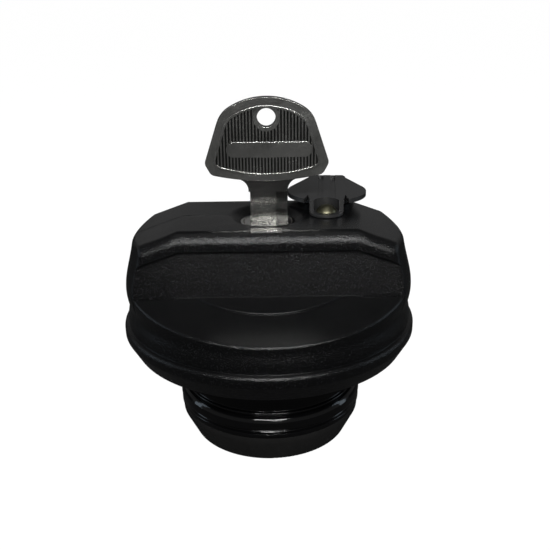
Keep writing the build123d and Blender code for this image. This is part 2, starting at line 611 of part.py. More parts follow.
def shell_inside():
    """Tube, screw bosses, rivet boss and ribs under the roof of the shell."""
    high = GRIP_TOP_Z - WALL / 2
    tube_low = HOUSING_LOW_Z + HOUSING_FLANGE_THICKNESS
    tube_radius = HOUSING_RADIUS + HOUSING_FIT + BOSS_WALL
    inside = disc(tube_radius, tube_low, high)
    for side in (-1, 1):
        inside += disc(SCREW_BOSS_RADIUS, tube_low, high, 0, side * EAR_SCREW_Y)
    for x, y in column_places():
        inside += disc(SCREW_BOSS_RADIUS, COLUMN_TOP_Z, high, x, y)
    inside += disc(RIVET_RADIUS + BOSS_WALL, GRIP_TOP_Z - WALL - RIVET_BOSS_LENGTH, high, COVER_PIVOT_X)
    half = RIB_WIDTH / 2
    inside += block(-LEDGE_RADIUS, LEDGE_RADIUS, -half, half, RIB_LOW_Z, high)
    for side in (-1, 1):
        x = side * RIB_SPACING
        inside += block(x - half, x + half, -GRIP_HALF_DEPTH, GRIP_HALF_DEPTH, RIB_LOW_Z, high)
    return inside


def shell_cuts():
    """Recess, lock bore, tab slot, screw holes, rivet hole and top seam."""
    recess = turned([(0, LOCK_FACE_Z), (HOUSING_RADIUS + HOUSING_FIT, LOCK_FACE_Z),
                     (RECESS_RADIUS, GRIP_TOP_Z), (RECESS_RADIUS, GRIP_TOP_Z + 1),
                     (0, GRIP_TOP_Z + 1)])
    cuts = recess + disc(HOUSING_RADIUS + HOUSING_FIT, HOUSING_LOW_Z, GRIP_TOP_Z)
    cuts += block(TAB_LEFT_X - TAB_FIT, TAB_RIGHT_X + TAB_FIT, TAB_NEAR_Y - TAB_FIT,
                  TAB_FAR_Y + TAB_FIT, LOCK_FACE_Z - WALL - TAB_ARM, GRIP_TOP_Z + 1)
    cuts += block(TAB_LEFT_X - TAB_FIT, TAB_RIGHT_X + TAB_FIT, TAB_NEAR_Y - TAB_FIT, 0,
                  HOUSING_LOW_Z + HOUSING_FLANGE_THICKNESS, LOCK_FACE_Z - WALL)
    for side in (-1, 1):
        cuts += disc(SCREW_RADIUS, HOUSING_LOW_Z, HOUSING_LOW_Z + SCREW_GRIP + 3, 0,
                     side * EAR_SCREW_Y)
    for x, y in column_places():
        cuts += disc(SCREW_RADIUS, COLUMN_TOP_Z, COLUMN_TOP_Z + SCREW_GRIP + 1, x, y)
    cuts += disc(RIVET_RADIUS, RIB_LOW_Z, GRIP_TOP_Z + 1, COVER_PIVOT_X)
    cuts += disc(RIVET_TAIL_RADIUS + HOUSING_FIT, RIB_LOW_Z - 1,
                 GRIP_TOP_Z - WALL - RIVET_BOSS_LENGTH, COVER_PIVOT_X)
    half = SEAM_WIDTH / 2
    seam = along_y(top_outline(0, GRIP_TOP_Z - FAR), half) - along_y(
        top_outline(SEAM_DEPTH, GRIP_TOP_Z - FAR), half)
    cuts += seam & block(-FAR, 0, -1, 1, CREASE_Z, GRIP_TOP_Z)
    return cuts


def make_cap_shell():
    form = shell_form()
    form -= panel_cut(-1)
    form -= panel_cut(1)
    hollow = form - shell_cavity()
    hollow += shell_inside() & form & along_y(top_outline(WALL / 2, 0), FAR)
    return hollow - shell_cuts()


# ---------------------------------------------------------------- lock
def make_lock_housing():
    """Lock body: tube with a floor, a flange with two ears and the locating arm."""
    flange_high = HOUSING_LOW_Z + HOUSING_FLANGE_THICKNESS
    body = disc(HOUSING_RADIUS, HOUSING_LOW_Z, LOCK_FACE_Z)
    body += disc(HOUSING_FLANGE_RADIUS, HOUSING_LOW_Z, flange_high)
    reach = EAR_SCREW_Y + EAR_HALF_WIDTH
    ears = block(-EAR_HALF_WIDTH, EAR_HALF_WIDTH, -reach, reach, HOUSING_LOW_Z, flange_high)
    body += fillet(ears.edges().filter_by(Axis.Z), EAR_HALF_WIDTH * 0.8)
    arm_high = LOCK_FACE_Z - WALL
    body += block(TAB_LEFT_X, TAB_RIGHT_X, TAB_NEAR_Y, 0, arm_high - TAB_ARM, arm_high)
    body += block(TAB_LEFT_X, TAB_RIGHT_X, TAB_NEAR_Y, TAB_FAR_Y, arm_high - TAB_ARM, GRIP_TOP_Z)
    body -= disc(HOUSING_BORE_RADIUS, HOUSING_LOW_Z + HOUSING_WEB, LOCK_FACE_Z + 1)
    body -= disc(TAIL_RADIUS + TAIL_CLEARANCE, HOUSING_LOW_Z - 1, LOCK_FACE_Z)
    for side in (-1, 1):
        body -= disc(SCREW_RADIUS, HOUSING_LOW_Z - 1, LOCK_FACE_Z, 0, side * EAR_SCREW_Y)
    return body


def wafer_heights():
    return [FIRST_WAFER_Z + i * WAFER_PITCH for i in range(WAFER_COUNT)]


def keyway(clearance, low, high):
    """The space of the key blade between two heights: full width, stepped on both faces."""
    half = BLADE_THICKNESS / 2 + clearance
    web = BLADE_WEB / 2 + clearance
    left = BLADE_LEFT_X - clearance
    right = BLADE_RIGHT_X + clearance
    body = block(left, right, -web, web, low, high)
    body += block(left, FRONT_STEP_X + clearance, -half, 0, low, high)
    return body + block(BACK_STEP_X - clearance, right, 0, half, low, high)


def make_lock_rotor():
    body = disc(ROTOR_RADIUS, ROTOR_LOW_Z, LOCK_FACE_Z)
    rim = body.edges().filter_by(GeomType.CIRCLE).sort_by(Axis.Z)[-1]
    body = chamfer(rim, 0.25)
    body += disc(TAIL_RADIUS, CAM_HIGH_Z, ROTOR_LOW_Z)
    body -= ring(TAIL_RADIUS + 1, CLIP_GROOVE_RADIUS, CLIP_LOW_Z - 0.05, CLIP_HIGH_Z + 0.05)
    half = CAM_SQUARE / 2
    body += block(-half, half, -half, half, CAM_LOW_Z + CAM_THICKNESS / 3, CAM_HIGH_Z)
    body -= keyway(KEYWAY_CLEARANCE, BLADE_TIP_Z - KEYWAY_CLEARANCE, LOCK_FACE_Z + 1)
    half_depth = WAFER_DEPTH / 2 + WAFER_FIT
    for z in wafer_heights():
        half_slot = WAFER_THICKNESS / 2 + WAFER_FIT
        body -= block(-FAR, FAR, -half_depth, half_depth, z - half_slot, z + half_slot)
        body -= block(WAFER_LUG_LEFT_X - WAFER_SWING, WAFER_LUG_RIGHT_X + SPRING_SPACE, 0,
                      WAFER_LUG_Y + WAFER_FIT, z - half_slot, z + half_slot)
    return body - disc(CAM_SCREW_RADIUS, 0, CAM_LOW_Z + CAM_SCREW_LENGTH)


def make_wafer(z):
    """A flat wafer with a lug, and the window that lets the key blade through."""
    half = WAFER_THICKNESS / 2
    plate = disc(ROTOR_RADIUS - WAFER_FIT, z - half, z + half)
    plate &= block(-FAR, FAR, -WAFER_DEPTH / 2, WAFER_DEPTH / 2, z - half, z + half)
    plate += block(WAFER_LUG_LEFT_X, WAFER_LUG_RIGHT_X, 0, WAFER_LUG_Y, z - half, z + half)
    return plate - block(BLADE_LEFT_X - KEYWAY_CLEARANCE, BLADE_RIGHT_X + KEYWAY_CLEARANCE,
                         -BLADE_THICKNESS / 2 - KEYWAY_CLEARANCE,
                         BLADE_THICKNESS / 2 + KEYWAY_CLEARANCE, z - half, z + half)


def make_wafer_spring(z):
    """A short coil between the wafer's lug and the end wall of its pocket."""
    low = WAFER_LUG_RIGHT_X
    high = WAFER_LUG_RIGHT_X + SPRING_SPACE
    spring = coil(WAFER_SPRING_RADIUS, SPRING_WIRE_SMALL, low, high, 2.5)
    y = (WAFER_DEPTH / 2 + WAFER_LUG_Y) / 2
    return Pos(0, y, z) * (Rot(0, 90, 0) * spring)


def make_rotor_clip():
    """Open clip in the groove of the rotor's tail."""
    clip = ring(CLIP_RADIUS, CLIP_GROOVE_RADIUS, CLIP_LOW_Z, CLIP_HIGH_Z)
    return clip - block(0, CLIP_RADIUS + 1, -CLIP_GROOVE_RADIUS * 0.8, CLIP_GROOVE_RADIUS * 0.8,
                        CLIP_LOW_Z - 1, CLIP_HIGH_Z + 1)


def pin_centre():
    """Centre of the eccentric pin at rest."""
    turn = radians(PIN_REST_ANGLE)
    return PIN_OFFSET * cos(turn), PIN_OFFSET * sin(turn)


def make_drive_cam():
    body = disc(CAM_RADIUS, CAM_LOW_Z, CAM_HIGH_Z)
    half = CAM_SQUARE / 2
    body -= block(-half, half, -half, half, CAM_LOW_Z + CAM_THICKNESS / 3, CAM_HIGH_Z)
    head = CAM_THICKNESS / 3
    body -= disc(CAM_SCREW_HEAD_RADIUS, CAM_LOW_Z, CAM_LOW_Z + head)
    x, y = pin_centre()
    return body + disc(PIN_RADIUS, PIN_LOW_Z, CAM_LOW_Z + head / 2, x, y)


def make_cam_screw():
    head = CAM_THICKNESS / 3
    body = disc(CAM_SCREW_HEAD_RADIUS, CAM_LOW_Z, CAM_LOW_Z + head)
    x, y = pin_centre()
    body -= disc(PIN_RADIUS, CAM_LOW_Z, CAM_LOW_Z + head, x, y)
    return body + disc(CAM_SCREW_RADIUS, CAM_LOW_Z + head, CAM_LOW_Z + CAM_SCREW_LENGTH)


def make_housing_screws():
    """Two screws that hold the lock housing up against its tube."""
    screws = []
    for side in (-1, 1):
        screws.append(screw(0, side * EAR_SCREW_Y, HOUSING_LOW_Z - SCREW_HEAD_HEIGHT, HOUSING_LOW_Z,
                            HOUSING_LOW_Z + HOUSING_FLANGE_THICKNESS + SCREW_GRIP, SCREW_RADIUS,
                            SCREW_HEAD_RADIUS))
    return Compound(screws)


# ---------------------------------------------------------------- key
def bow_face(inset, foot_z):
    """Face of the key bow in the XZ plane, drawn in by inset, with its foot at foot_z."""
    top = BOW_TOP_Z - inset
    sx = BOW_SHOULDER_HALF_WIDTH - inset * 0.8
    sz = BOW_SHOULDER_Z - inset * 0.6
    wx = BOW_HALF_WIDTH - inset
    fx = BOW_FOOT_HALF_WIDTH - inset * 0.9
    fz = BOW_FOOT_Z + inset * 0.8
    outline = [
        ThreePointArc((-sx, sz), (0, top), (sx, sz)),
        Line((sx, sz), (wx, BOW_WIDEST_Z)),
        Line((wx, BOW_WIDEST_Z), (fx, fz)),
        ThreePointArc((fx, fz), (0, foot_z), (-fx, fz)),
        Line((-fx, fz), (-wx, BOW_WIDEST_Z)),
        Line((-wx, BOW_WIDEST_Z), (-sx, sz)),
    ]
    face = make_face(outline)
    corners = face.vertices().filter_by(lambda v: v.Y > BOW_SHOULDER_Z - 2)
    face = fillet(corners, BOW_SHOULDER_ROUND - inset * 0.8)
    corners = face.vertices().filter_by(lambda v: v.Y < BOW_WIDEST_Z + 0.5)
    return fillet(corners, BOW_FOOT_ROUND - inset * 0.4)


def standing(face, thickness, offset=0.0):
    """Extrude a face drawn as (x, z) to both sides of the middle plane."""
    return Plane.XZ.offset(offset) * extrude(face, amount=thickness / 2, both=True)


def key_blade():
    """Side view of the blade with its cuts on both edges and its pointed tip."""
    middle = (BLADE_LEFT_X + BLADE_RIGHT_X) / 2
    half_tip = BLADE_TIP_SLOPE
    face = make_face(Polyline(
        (BLADE_LEFT_X, BOW_WIDEST_Z), (BLADE_LEFT_X, BLADE_TIP_Z + BLADE_TIP_RISE),
        (middle - half_tip, BLADE_TIP_Z), (middle + half_tip, BLADE_TIP_Z),
        (BLADE_RIGHT_X, BLADE_TIP_Z + BLADE_TIP_RISE), (BLADE_RIGHT_X, BOW_WIDEST_Z), close=True))
    for z, depth in zip(wafer_heights(), CUT_DEPTHS):
        low = z - CUT_FLAT / 2
        high = z + CUT_FLAT / 2
        face -= make_face(Polyline(
            (BLADE_LEFT_X - 1, low - depth - 1), (BLADE_LEFT_X + depth, low),
            (BLADE_LEFT_X + depth, high), (BLADE_LEFT_X - 1, high + depth + 1), close=True))
        face -= make_face(Polyline(
            (BLADE_RIGHT_X + 1, low - depth - 1), (BLADE_RIGHT_X - depth, low),
            (BLADE_RIGHT_X - depth, high), (BLADE_RIGHT_X + 1, high + depth + 1), close=True))
    return face


def milled_steps():
    """The stock milled off the two faces of the blade, from its tip to the shoulder."""
    web = BLADE_WEB / 2
    front = block(FRONT_STEP_X, FAR, -FAR, -web, 0, SHOULDER_Z)
    return front + block(-FAR, BACK_STEP_X, web, FAR, 0, SHOULDER_Z)


def key_neck(bow):
    """The bow with the neck under it, joined by rounded corners."""
    middle = (NECK_LEFT_X + BLADE_RIGHT_X) / 2
    height = BOW_WIDEST_Z - SHOULDER_Z
    neck = Pos(middle, SHOULDER_Z + height / 2) * Rectangle(BLADE_RIGHT_X - NECK_LEFT_X, height)
    face = bow + neck
    corners = face.vertices().filter_by(
        lambda v: BOW_BELLY_Z - 1 < v.Y < BOW_FOOT_Z and abs(v.X) < BOW_FOOT_HALF_WIDTH / 2)
    return fillet(corners, NECK_ROUND)


def pad_face(inset):
    """The smooth raised pad with round ends."""
    height = PAD_HIGH_Z - PAD_LOW_Z - 2 * inset
    length = PAD_RIGHT_X - PAD_LEFT_X - 2 * inset
    return Pos((PAD_LEFT_X + PAD_RIGHT_X) / 2, (PAD_LOW_Z + PAD_HIGH_Z) / 2) * RectangleRounded(
        length, height, height * 0.49)


def make_key():
    bow = bow_face(0, BOW_BELLY_Z)
    field = bow_face(BOW_BORDER, FIELD_FOOT_Z)
    body = standing(bow, BOW_THICKNESS)
    body += standing(key_neck(bow), BLADE_THICKNESS)
    body += standing(key_blade(), BLADE_THICKNESS) - milled_steps()
    land = Pos(0, RING_HOLE_Z) * Circle(RING_HOLE_RADIUS + RING_HOLE_LAND)
    sunk = field - pad_face(0) - land
    count = int((BOW_HALF_WIDTH - BOW_BORDER) / FIELD_RIB_PITCH)
    bars = [Pos(i * FIELD_RIB_PITCH, (FIELD_FOOT_Z + BOW_TOP_Z) / 2)
            * Rectangle(FIELD_RIB_WIDTH, BOW_TOP_Z - FIELD_FOOT_Z + 4)
            for i in range(-count, count + 1)]
    ribs = sunk & Sketch() + bars
    bead = field - bow_face(BOW_BORDER + FIELD_BEAD_WIDTH, FIELD_FOOT_Z + FIELD_BEAD_WIDTH)
    surface = BOW_THICKNESS / 2
    for side in (-1, 1):
        floor = side * (surface - FIELD_SINK)
        cut = Plane.XZ.offset(floor) * extrude(sunk, amount=side * (FIELD_SINK + 1))
        body -= cut
        body += Plane.XZ.offset(floor) * extrude(ribs, amount=side * FIELD_RIB_RISE)
        body += Plane.XZ.offset(floor) * extrude(bead, amount=side * (FIELD_SINK + FIELD_BEAD_RISE))
    hole = Pos(0, 0, RING_HOLE_Z) * (Rot(90, 0, 0) * Cylinder(RING_HOLE_RADIUS, FAR))
    return body - hole


# ---------------------------------------------------------------- dust cover
def cover_place(solid):
    """Turn a solid drawn along +X from the origin to the open cover's place."""
    return Pos(COVER_PIVOT_X, 0, 0) * (Rot(0, 0, COVER_REST_ANGLE) * solid)


def cover_plan():
    """Plan of the cover: a disc that tapers to a thumb tab, notched beside the arm."""
    taper = asin((COVER_DISC_RADIUS - COVER_TIP_HALF_WIDTH) / (COVER_REACH - COVER_DISC_CENTRE))
    tx = COVER_DISC_CENTRE + COVER_DISC_RADIUS * sin(taper)
    ty = COVER_DISC_RADIUS * cos(taper)
    tab = make_face(Polyline((COVER_DISC_CENTRE, -ty), (tx, -ty),
                             (COVER_REACH, -COVER_TIP_HALF_WIDTH), (COVER_REACH, COVER_TIP_HALF_WIDTH),
                             (tx, ty), (COVER_DISC_CENTRE, ty), close=True))
    tips = tab.vertices().filter_by(lambda v: v.X > COVER_REACH - 0.1)
    plan = fillet(tips, COVER_TIP_HALF_WIDTH * 0.3) + Pos(COVER_DISC_CENTRE, 0) * Circle(COVER_DISC_RADIUS)
    for side in (-1, 1):
        inner = side * COVER_ARM_HALF_WIDTH
        outer = side * (COVER_NOTCH_HALF_WIDTH + COVER_NOTCH_MOUTH)
        plan -= make_face(Polyline((0, inner), (COVER_NOTCH_DEPTH, side * COVER_NOTCH_HALF_WIDTH),
                                   (0, outer), close=True))
    arm = Pos(COVER_DISC_CENTRE / 2, 0) * Rectangle(COVER_DISC_CENTRE, 2 * COVER_ARM_HALF_WIDTH)
    near = Pos(-FAR / 2, 0) * Rectangle(FAR, FAR)
    return plan + arm - near


def make_dust_cover():
    plan = cover_plan()
    body = Pos(0, 0, COVER_LOW_Z) * extrude(plan, amount=COVER_THICKNESS)
    groove_end = COVER_REACH - COVER_TIP_WALL
    band = block(0, groove_end, -COVER_BAND_HALF_WIDTH, COVER_BAND_HALF_WIDTH,
                 COVER_LOW_Z, COVER_TOP_Z)
    sides = body & block(0, FAR, -FAR, FAR, COVER_TOP_Z - COVER_BAND_RISE, COVER_TOP_Z)
    body -= sides - band
    body += disc(COVER_HUB_RADIUS, HUB_LOW_Z, COVER_TOP_Z) & block(
        0, FAR, -FAR, FAR, HUB_LOW_Z, COVER_TOP_Z)
    body -= disc(COVER_HUB_BORE, HUB_FLOOR_Z, COVER_TOP_Z)
    body += disc(COVER_HUB_RADIUS, HUB_LOW_Z, HUB_FLOOR_Z)
    body -= disc(RIVET_RADIUS + RIVET_CLEARANCE, HUB_LOW_Z, HUB_FLOOR_Z)
    spigot = Pos(COVER_PIVOT_X, 0, 0) * ring(SPIGOT_RADIUS, SPIGOT_RADIUS - SPIGOT_WALL,
                                             GRIP_TOP_Z + SPIGOT_GAP, COVER_LOW_Z)
    body += spigot
    for side in (-1, 1):
        y = side * GROOVE_OFFSET
        half = GROOVE_WIDTH / 2
        body -= block(COVER_HUB_BORE, groove_end, y - half, y + half,
                      COVER_TOP_Z - GROOVE_DEPTH, COVER_TOP_Z)
        body -= block(groove_end - COVER_SLOT_LENGTH, groove_end, y - half, y + half,
                      COVER_TOP_Z - COVER_SLOT_DEPTH, COVER_TOP_Z)
    return cover_place(body)


def make_cover_rivet():
    """Domed head above the hub, shank through the shell, spread tail below."""
    dome_radius = (RIVET_HEAD_RADIUS ** 2 + RIVET_HEAD_HEIGHT ** 2) / (2 * RIVET_HEAD_HEIGHT)
    centre_z = RIVET_HEAD_Z + RIVET_HEAD_HEIGHT - dome_radius
    dome = Pos(COVER_PIVOT_X, 0, centre_z) * Sphere(dome_radius)
    dome &= disc(RIVET_HEAD_RADIUS, RIVET_HEAD_Z, COVER_TOP_Z + 1, COVER_PIVOT_X)
    tail_high = GRIP_TOP_Z - WALL - RIVET_BOSS_LENGTH
    body = dome + disc(RIVET_RADIUS, tail_high, RIVET_HEAD_Z, COVER_PIVOT_X)
    return body + disc(RIVET_TAIL_RADIUS, tail_high - RIVET_TAIL_HEIGHT, tail_high, COVER_PIVOT_X)


# ---------------------------------------------------------------- bolt and clutch
def make_locking_bolt():
    """Flat bolt that points to -X, with the cross slot for the eccentric pin."""
    half = BOLT_WIDTH / 2
    body = block(-BOLT_REST_RADIUS, BOLT_TAIL_X, -half, half, BOLT_LOW_Z, BOLT_HIGH_Z)
    nose = body.edges().filter_by(Axis.Z).sort_by(Axis.X)[:2]
    body = fillet(nose, BOLT_NOSE_ROUND)
    x, y = pin_centre()
    reach = PIN_RADIUS + BOLT_SLOT_CLEARANCE
    side = reach + BOLT_PAD_WALL
    pad = block(x - side, x + side, 0, PIN_OFFSET + reach + BOLT_PAD_END, BOLT_LOW_Z, BOLT_HIGH_Z)
    slot = block(x - reach, x + reach, y - reach, PIN_OFFSET + reach, BOLT_LOW_Z, BOLT_HIGH_Z)
    return body + pad - slot


def make_bolt_guide():
    """Disc with two rails and four columns that carries the bolt."""
    body = disc(GUIDE_RADIUS, GUIDE_LOW_Z, GUIDE_HIGH_Z)
    inner = BOLT_WIDTH / 2 + RAIL_CLEARANCE
    side = PIN_RADIUS + BOLT_SLOT_CLEARANCE + BOLT_PAD_WALL + PAD_WAY
    x, y = pin_centre()
    rail_high = BOLT_HIGH_Z - RAIL_TOP_GAP
    front = block(-FAR, FAR, -inner - RAIL_WIDTH, -inner, GUIDE_HIGH_Z, rail_high)
    back = block(-FAR, FAR, inner, inner + RAIL_WIDTH, GUIDE_HIGH_Z, rail_high)
    back -= block(x - side - BOLT_TRAVEL, x + side, 0, FAR, GUIDE_HIGH_Z, rail_high)
    body += (front + back) & disc(GUIDE_RADIUS - RAIL_END, GUIDE_HIGH_Z, rail_high)
    for cx, cy in column_places():
        body += disc(SCREW_BOSS_RADIUS, GUIDE_HIGH_Z, COLUMN_TOP_Z, cx, cy)
    for cx, cy in column_places():
        body -= disc(SCREW_RADIUS, GUIDE_LOW_Z - 1, COLUMN_TOP_Z + 1, cx, cy)
    return body


def make_guide_screws():
    screws = [screw(x, y, GUIDE_LOW_Z - SCREW_HEAD_HEIGHT, GUIDE_LOW_Z,
                    COLUMN_TOP_Z + SCREW_GRIP, SCREW_RADIUS, SCREW_HEAD_RADIUS)
              for x, y in column_places()]
    return Compound(screws)


def make_coupling_ring():
    """Notched ring, seated in the closure, that the bolt enters."""
    body = ring(RING_OUTER_RADIUS, RING_INNER_RADIUS, RING_LOW_Z, FLANGE_HIGH_Z)
    half = BOLT_WIDTH / 2 + NOTCH_SIDE_CLEARANCE
    for angle in polar(NOTCH_COUNT):
        notch = block(RING_INNER_RADIUS - 2, NOTCH_RADIUS, -half, half, NOTCH_LOW_Z, FLANGE_HIGH_Z)
        body -= Rot(0, 0, angle) * notch
    return body


def make_retaining_ring():
    """Split ring in the groove of the shell under the flange of the closure."""
    body = ring(RETAINER_OUTER_RADIUS, RETAINER_INNER_RADIUS, RETAINER_LOW_Z, RETAINER_HIGH_Z)
    half = RETAINER_SPLIT / 2
    return body - block(-half, half, 0, FAR, RETAINER_LOW_Z, RETAINER_HIGH_Z)


# ---------------------------------------------------------------- inner closure
def make_thread():
    """Internal thread of the skirt as one helical ridge."""
    height = THREAD_PITCH * THREAD_TURNS
    path = Helix(pitch=THREAD_PITCH, height=height, radius=SKIRT_INNER_RADIUS)
    root = THREAD_WIDTH / 2
    crest = THREAD_CREST / 2
    profile = Plane(origin=path @ 0, x_dir=(-1, 0, 0), z_dir=path % 0)
    face = profile * make_face(Polyline((-THREAD_SINK, -root), (0, -root), (THREAD_HEIGHT, -crest),
                                        (THREAD_HEIGHT, crest), (0, root), (-THREAD_SINK, root), close=True))
    ridge = sweep(face, path=path, is_frenet=True)
    return Pos(0, 0, THREAD_LOW_Z) * ridge


def cage_screw_places():
    return [(CAGE_SCREW_CENTRE * cos(radians(a)), CAGE_SCREW_CENTRE * sin(radians(a)))
            for a in polar(CAGE_SCREW_COUNT, 90.0)]


def make_inner_closure():
    """Plug tube, flange and threaded skirt, moulded as one piece."""
    body = turned([
        (PLUG_BORE_RADIUS, PLUG_LOW_Z), (PLUG_RADIUS, PLUG_LOW_Z),
        (PLUG_RADIUS, COLLAR_LOW_Z), (COLLAR_RADIUS, COLLAR_LOW_Z),
        (COLLAR_RADIUS, COLLAR_LOW_Z + COLLAR_HEIGHT * 0.6), (PLUG_RADIUS, COLLAR_LOW_Z + COLLAR_HEIGHT),
        (PLUG_RADIUS, FLANGE_LOW_Z), (SKIRT_INNER_RADIUS, FLANGE_LOW_Z),
        (SKIRT_INNER_RADIUS, SKIRT_LOW_Z), (SKIRT_OUTER_RADIUS, SKIRT_LOW_Z),
        (SKIRT_OUTER_RADIUS, FLANGE_LOW_Z), (FLANGE_RADIUS, FLANGE_LOW_Z),
        (FLANGE_RADIUS, FLANGE_HIGH_Z), (RING_OUTER_RADIUS, FLANGE_HIGH_Z),
        (RING_OUTER_RADIUS, RING_LOW_Z), (PLUG_BORE_RADIUS, RING_LOW_Z),
    ])
    body += ring(PLUG_BORE_RADIUS + 0.5, SEAT_BORE, SEAT_LOW_Z, SEAT_HIGH_Z)
    body += make_thread()
    for x, y in cage_screw_places():
        body += disc(CAGE_BOSS_RADIUS, SEAT_LOW_Z - CAGE_BOSS_LENGTH, SEAT_LOW_Z, x, y)
    for x, y in cage_screw_places():
        body -= disc(CAGE_SCREW_RADIUS, SEAT_HIGH_Z - CAGE_SCREW_GRIP, SEAT_HIGH_Z, x, y)
    return body


def make_neck_gasket():
    return ring(SKIRT_INNER_RADIUS, PLUG_RADIUS, FLANGE_LOW_Z - GASKET_THICKNESS, FLANGE_LOW_Z)


def make_seal_ring():
    """Rubber ring with two flat-topped ribs."""
    low = SEAL_LOW_RIB_FLAT / 2
    high = SEAL_HIGH_RIB_FLAT / 2
    waist = SEAL_WAIST_FLAT / 2
    return turned([
        (PLUG_RADIUS, CUP_TOP_Z), (SEAL_EDGE_RADIUS, CUP_TOP_Z),
        (SEAL_LOW_RADIUS, SEAL_LOW_RIB_Z - low), (SEAL_LOW_RADIUS, SEAL_LOW_RIB_Z + low),
        (SEAL_WAIST_RADIUS, SEAL_WAIST_Z - waist), (SEAL_WAIST_RADIUS, SEAL_WAIST_Z + waist),
        (SEAL_RADIUS, SEAL_HIGH_RIB_Z - high), (SEAL_RADIUS, SEAL_HIGH_RIB_Z + high),
        (SEAL_EDGE_RADIUS, SEAL_HIGH_Z - SEAL_TOP_CHAMFER),
        (SEAL_EDGE_RADIUS - SEAL_TOP_CHAMFER, SEAL_HIGH_Z), (PLUG_RADIUS, SEAL_HIGH_Z),
    ])


def make_bottom_cup():
    """Cup that closes the plug from below, with vent holes in its floor."""
    spigot = PLUG_BORE_RADIUS - CUP_SPIGOT_FIT
    inner = spigot - CUP_SPIGOT_WALL
    body = turned([
        (0, 0), (CUP_BOTTOM_RADIUS, 0), (CUP_TOP_RADIUS, CUP_CONE_Z), (CUP_TOP_RADIUS, CUP_TOP_Z),
        (spigot, CUP_TOP_Z), (spigot, CUP_TOP_Z + CUP_SPIGOT_HEIGHT),
        (inner, CUP_TOP_Z + CUP_SPIGOT_HEIGHT), (inner, CUP_FLOOR + 1.0),
        (inner - 1.0, CUP_FLOOR), (0, CUP_FLOOR),
    ])
    edge = body.edges().filter_by(GeomType.CIRCLE).filter_by(
        lambda e: e.center().Z < 0.01 and e.radius > CUP_BOTTOM_RADIUS - 0.1)
    body = fillet(edge, CUP_EDGE_ROUND)
    for angle in polar(VENT_COUNT):
        x = VENT_CENTRE * cos(radians(angle))
        y = VENT_CENTRE * sin(radians(angle))
        body -= disc(VENT_RADIUS, -1, CUP_FLOOR + 1, x, y)
    return body


# ---------------------------------------------------------------- valves
def make_pressure_valve():
    """Valve disc with a nose in the seat bore, a spring seat and air holes."""
    body = disc(VALVE_RADIUS, PAD_TOP_Z, VALVE_TOP_Z)
    body += ring(VALVE_NOSE_RADIUS, VALVE_NOSE_BORE, VALVE_NOSE_Z, PAD_TOP_Z)
    body += ring(SPRING_SEAT_RADIUS, SPRING_SEAT_RADIUS - SPRING_SEAT_WALL, VALVE_TOP_Z,
                 VALVE_TOP_Z + SPRING_SEAT_HEIGHT)
    body -= disc(STEM_RADIUS + STEM_CLEARANCE, PAD_TOP_Z, VALVE_TOP_Z)
    for angle in polar(4, 45.0):
        x = AIR_HOLE_CENTRE * cos(radians(angle))
        y = AIR_HOLE_CENTRE * sin(radians(angle))
        body -= disc(AIR_HOLE_RADIUS, PAD_TOP_Z, VALVE_TOP_Z, x, y)
    return body


def make_pressure_pad():
    return ring(PAD_OUTER_RADIUS, PAD_INNER_RADIUS, SEAT_HIGH_Z, PAD_TOP_Z)


def make_pressure_spring():
    return coil(PRESSURE_COIL_RADIUS, PRESSURE_WIRE, VALVE_TOP_Z, CAGE_TOP_Z - CAGE_ROOF, PRESSURE_TURNS)


def make_vacuum_valve():
    """Disc under the nose of the pressure valve with its stem and collar."""
    body = disc(VACUUM_RADIUS, VALVE_NOSE_Z - VACUUM_THICKNESS, VALVE_NOSE_Z)
    body += disc(STEM_RADIUS, VALVE_NOSE_Z, STEM_COLLAR_Z)
    return body + disc(STEM_COLLAR_RADIUS, STEM_COLLAR_Z, STEM_COLLAR_Z + STEM_COLLAR_HEIGHT)


def make_vacuum_spring():
    return coil(VACUUM_COIL_RADIUS, VACUUM_WIRE, VALVE_TOP_Z, STEM_COLLAR_Z, VACUUM_TURNS)


def make_valve_cage():
    """Cage over the valve: foot ring, wall with windows and a roof."""
    foot_high = SEAT_HIGH_Z + CAGE_FOOT_THICKNESS
    body = ring(CAGE_FOOT_RADIUS, CAGE_RADIUS - CAGE_WALL, SEAT_HIGH_Z, foot_high)
    body += ring(CAGE_RADIUS, CAGE_RADIUS - CAGE_WALL, SEAT_HIGH_Z, CAGE_TOP_Z)
    body += disc(CAGE_RADIUS, CAGE_TOP_Z - CAGE_ROOF, CAGE_TOP_Z)
    half = CAGE_WINDOW / 2
    for angle in polar(CAGE_SCREW_COUNT, 30.0):
        window = block(0, FAR, -half, half, foot_high + CAGE_WINDOW_MARGIN,
                       CAGE_TOP_Z - CAGE_ROOF - CAGE_WINDOW_MARGIN)
        body -= Rot(0, 0, angle) * window
    for x, y in cage_screw_places():
        body -= disc(CAGE_SCREW_RADIUS, SEAT_HIGH_Z, foot_high, x, y)
    return body


def make_valve_screws():
    """Three screws through the foot of the cage, heads up."""
    foot_high = SEAT_HIGH_Z + CAGE_FOOT_THICKNESS
    screws = []
    for x, y in cage_screw_places():
        body = disc(CAGE_SCREW_HEAD_RADIUS, foot_high, foot_high + CAGE_SCREW_HEAD_HEIGHT, x, y)
        body += disc(CAGE_SCREW_RADIUS, SEAT_HIGH_Z - CAGE_SCREW_GRIP, foot_high, x, y)
        reach = CAGE_SCREW_HEAD_RADIUS
        body -= block(x - reach, x + reach, y - SCREW_SLOT / 2, y + SCREW_SLOT / 2,
                      foot_high + CAGE_SCREW_HEAD_HEIGHT / 2, foot_high + CAGE_SCREW_HEAD_HEIGHT)
        screws.append(body)
    return Compound(screws)


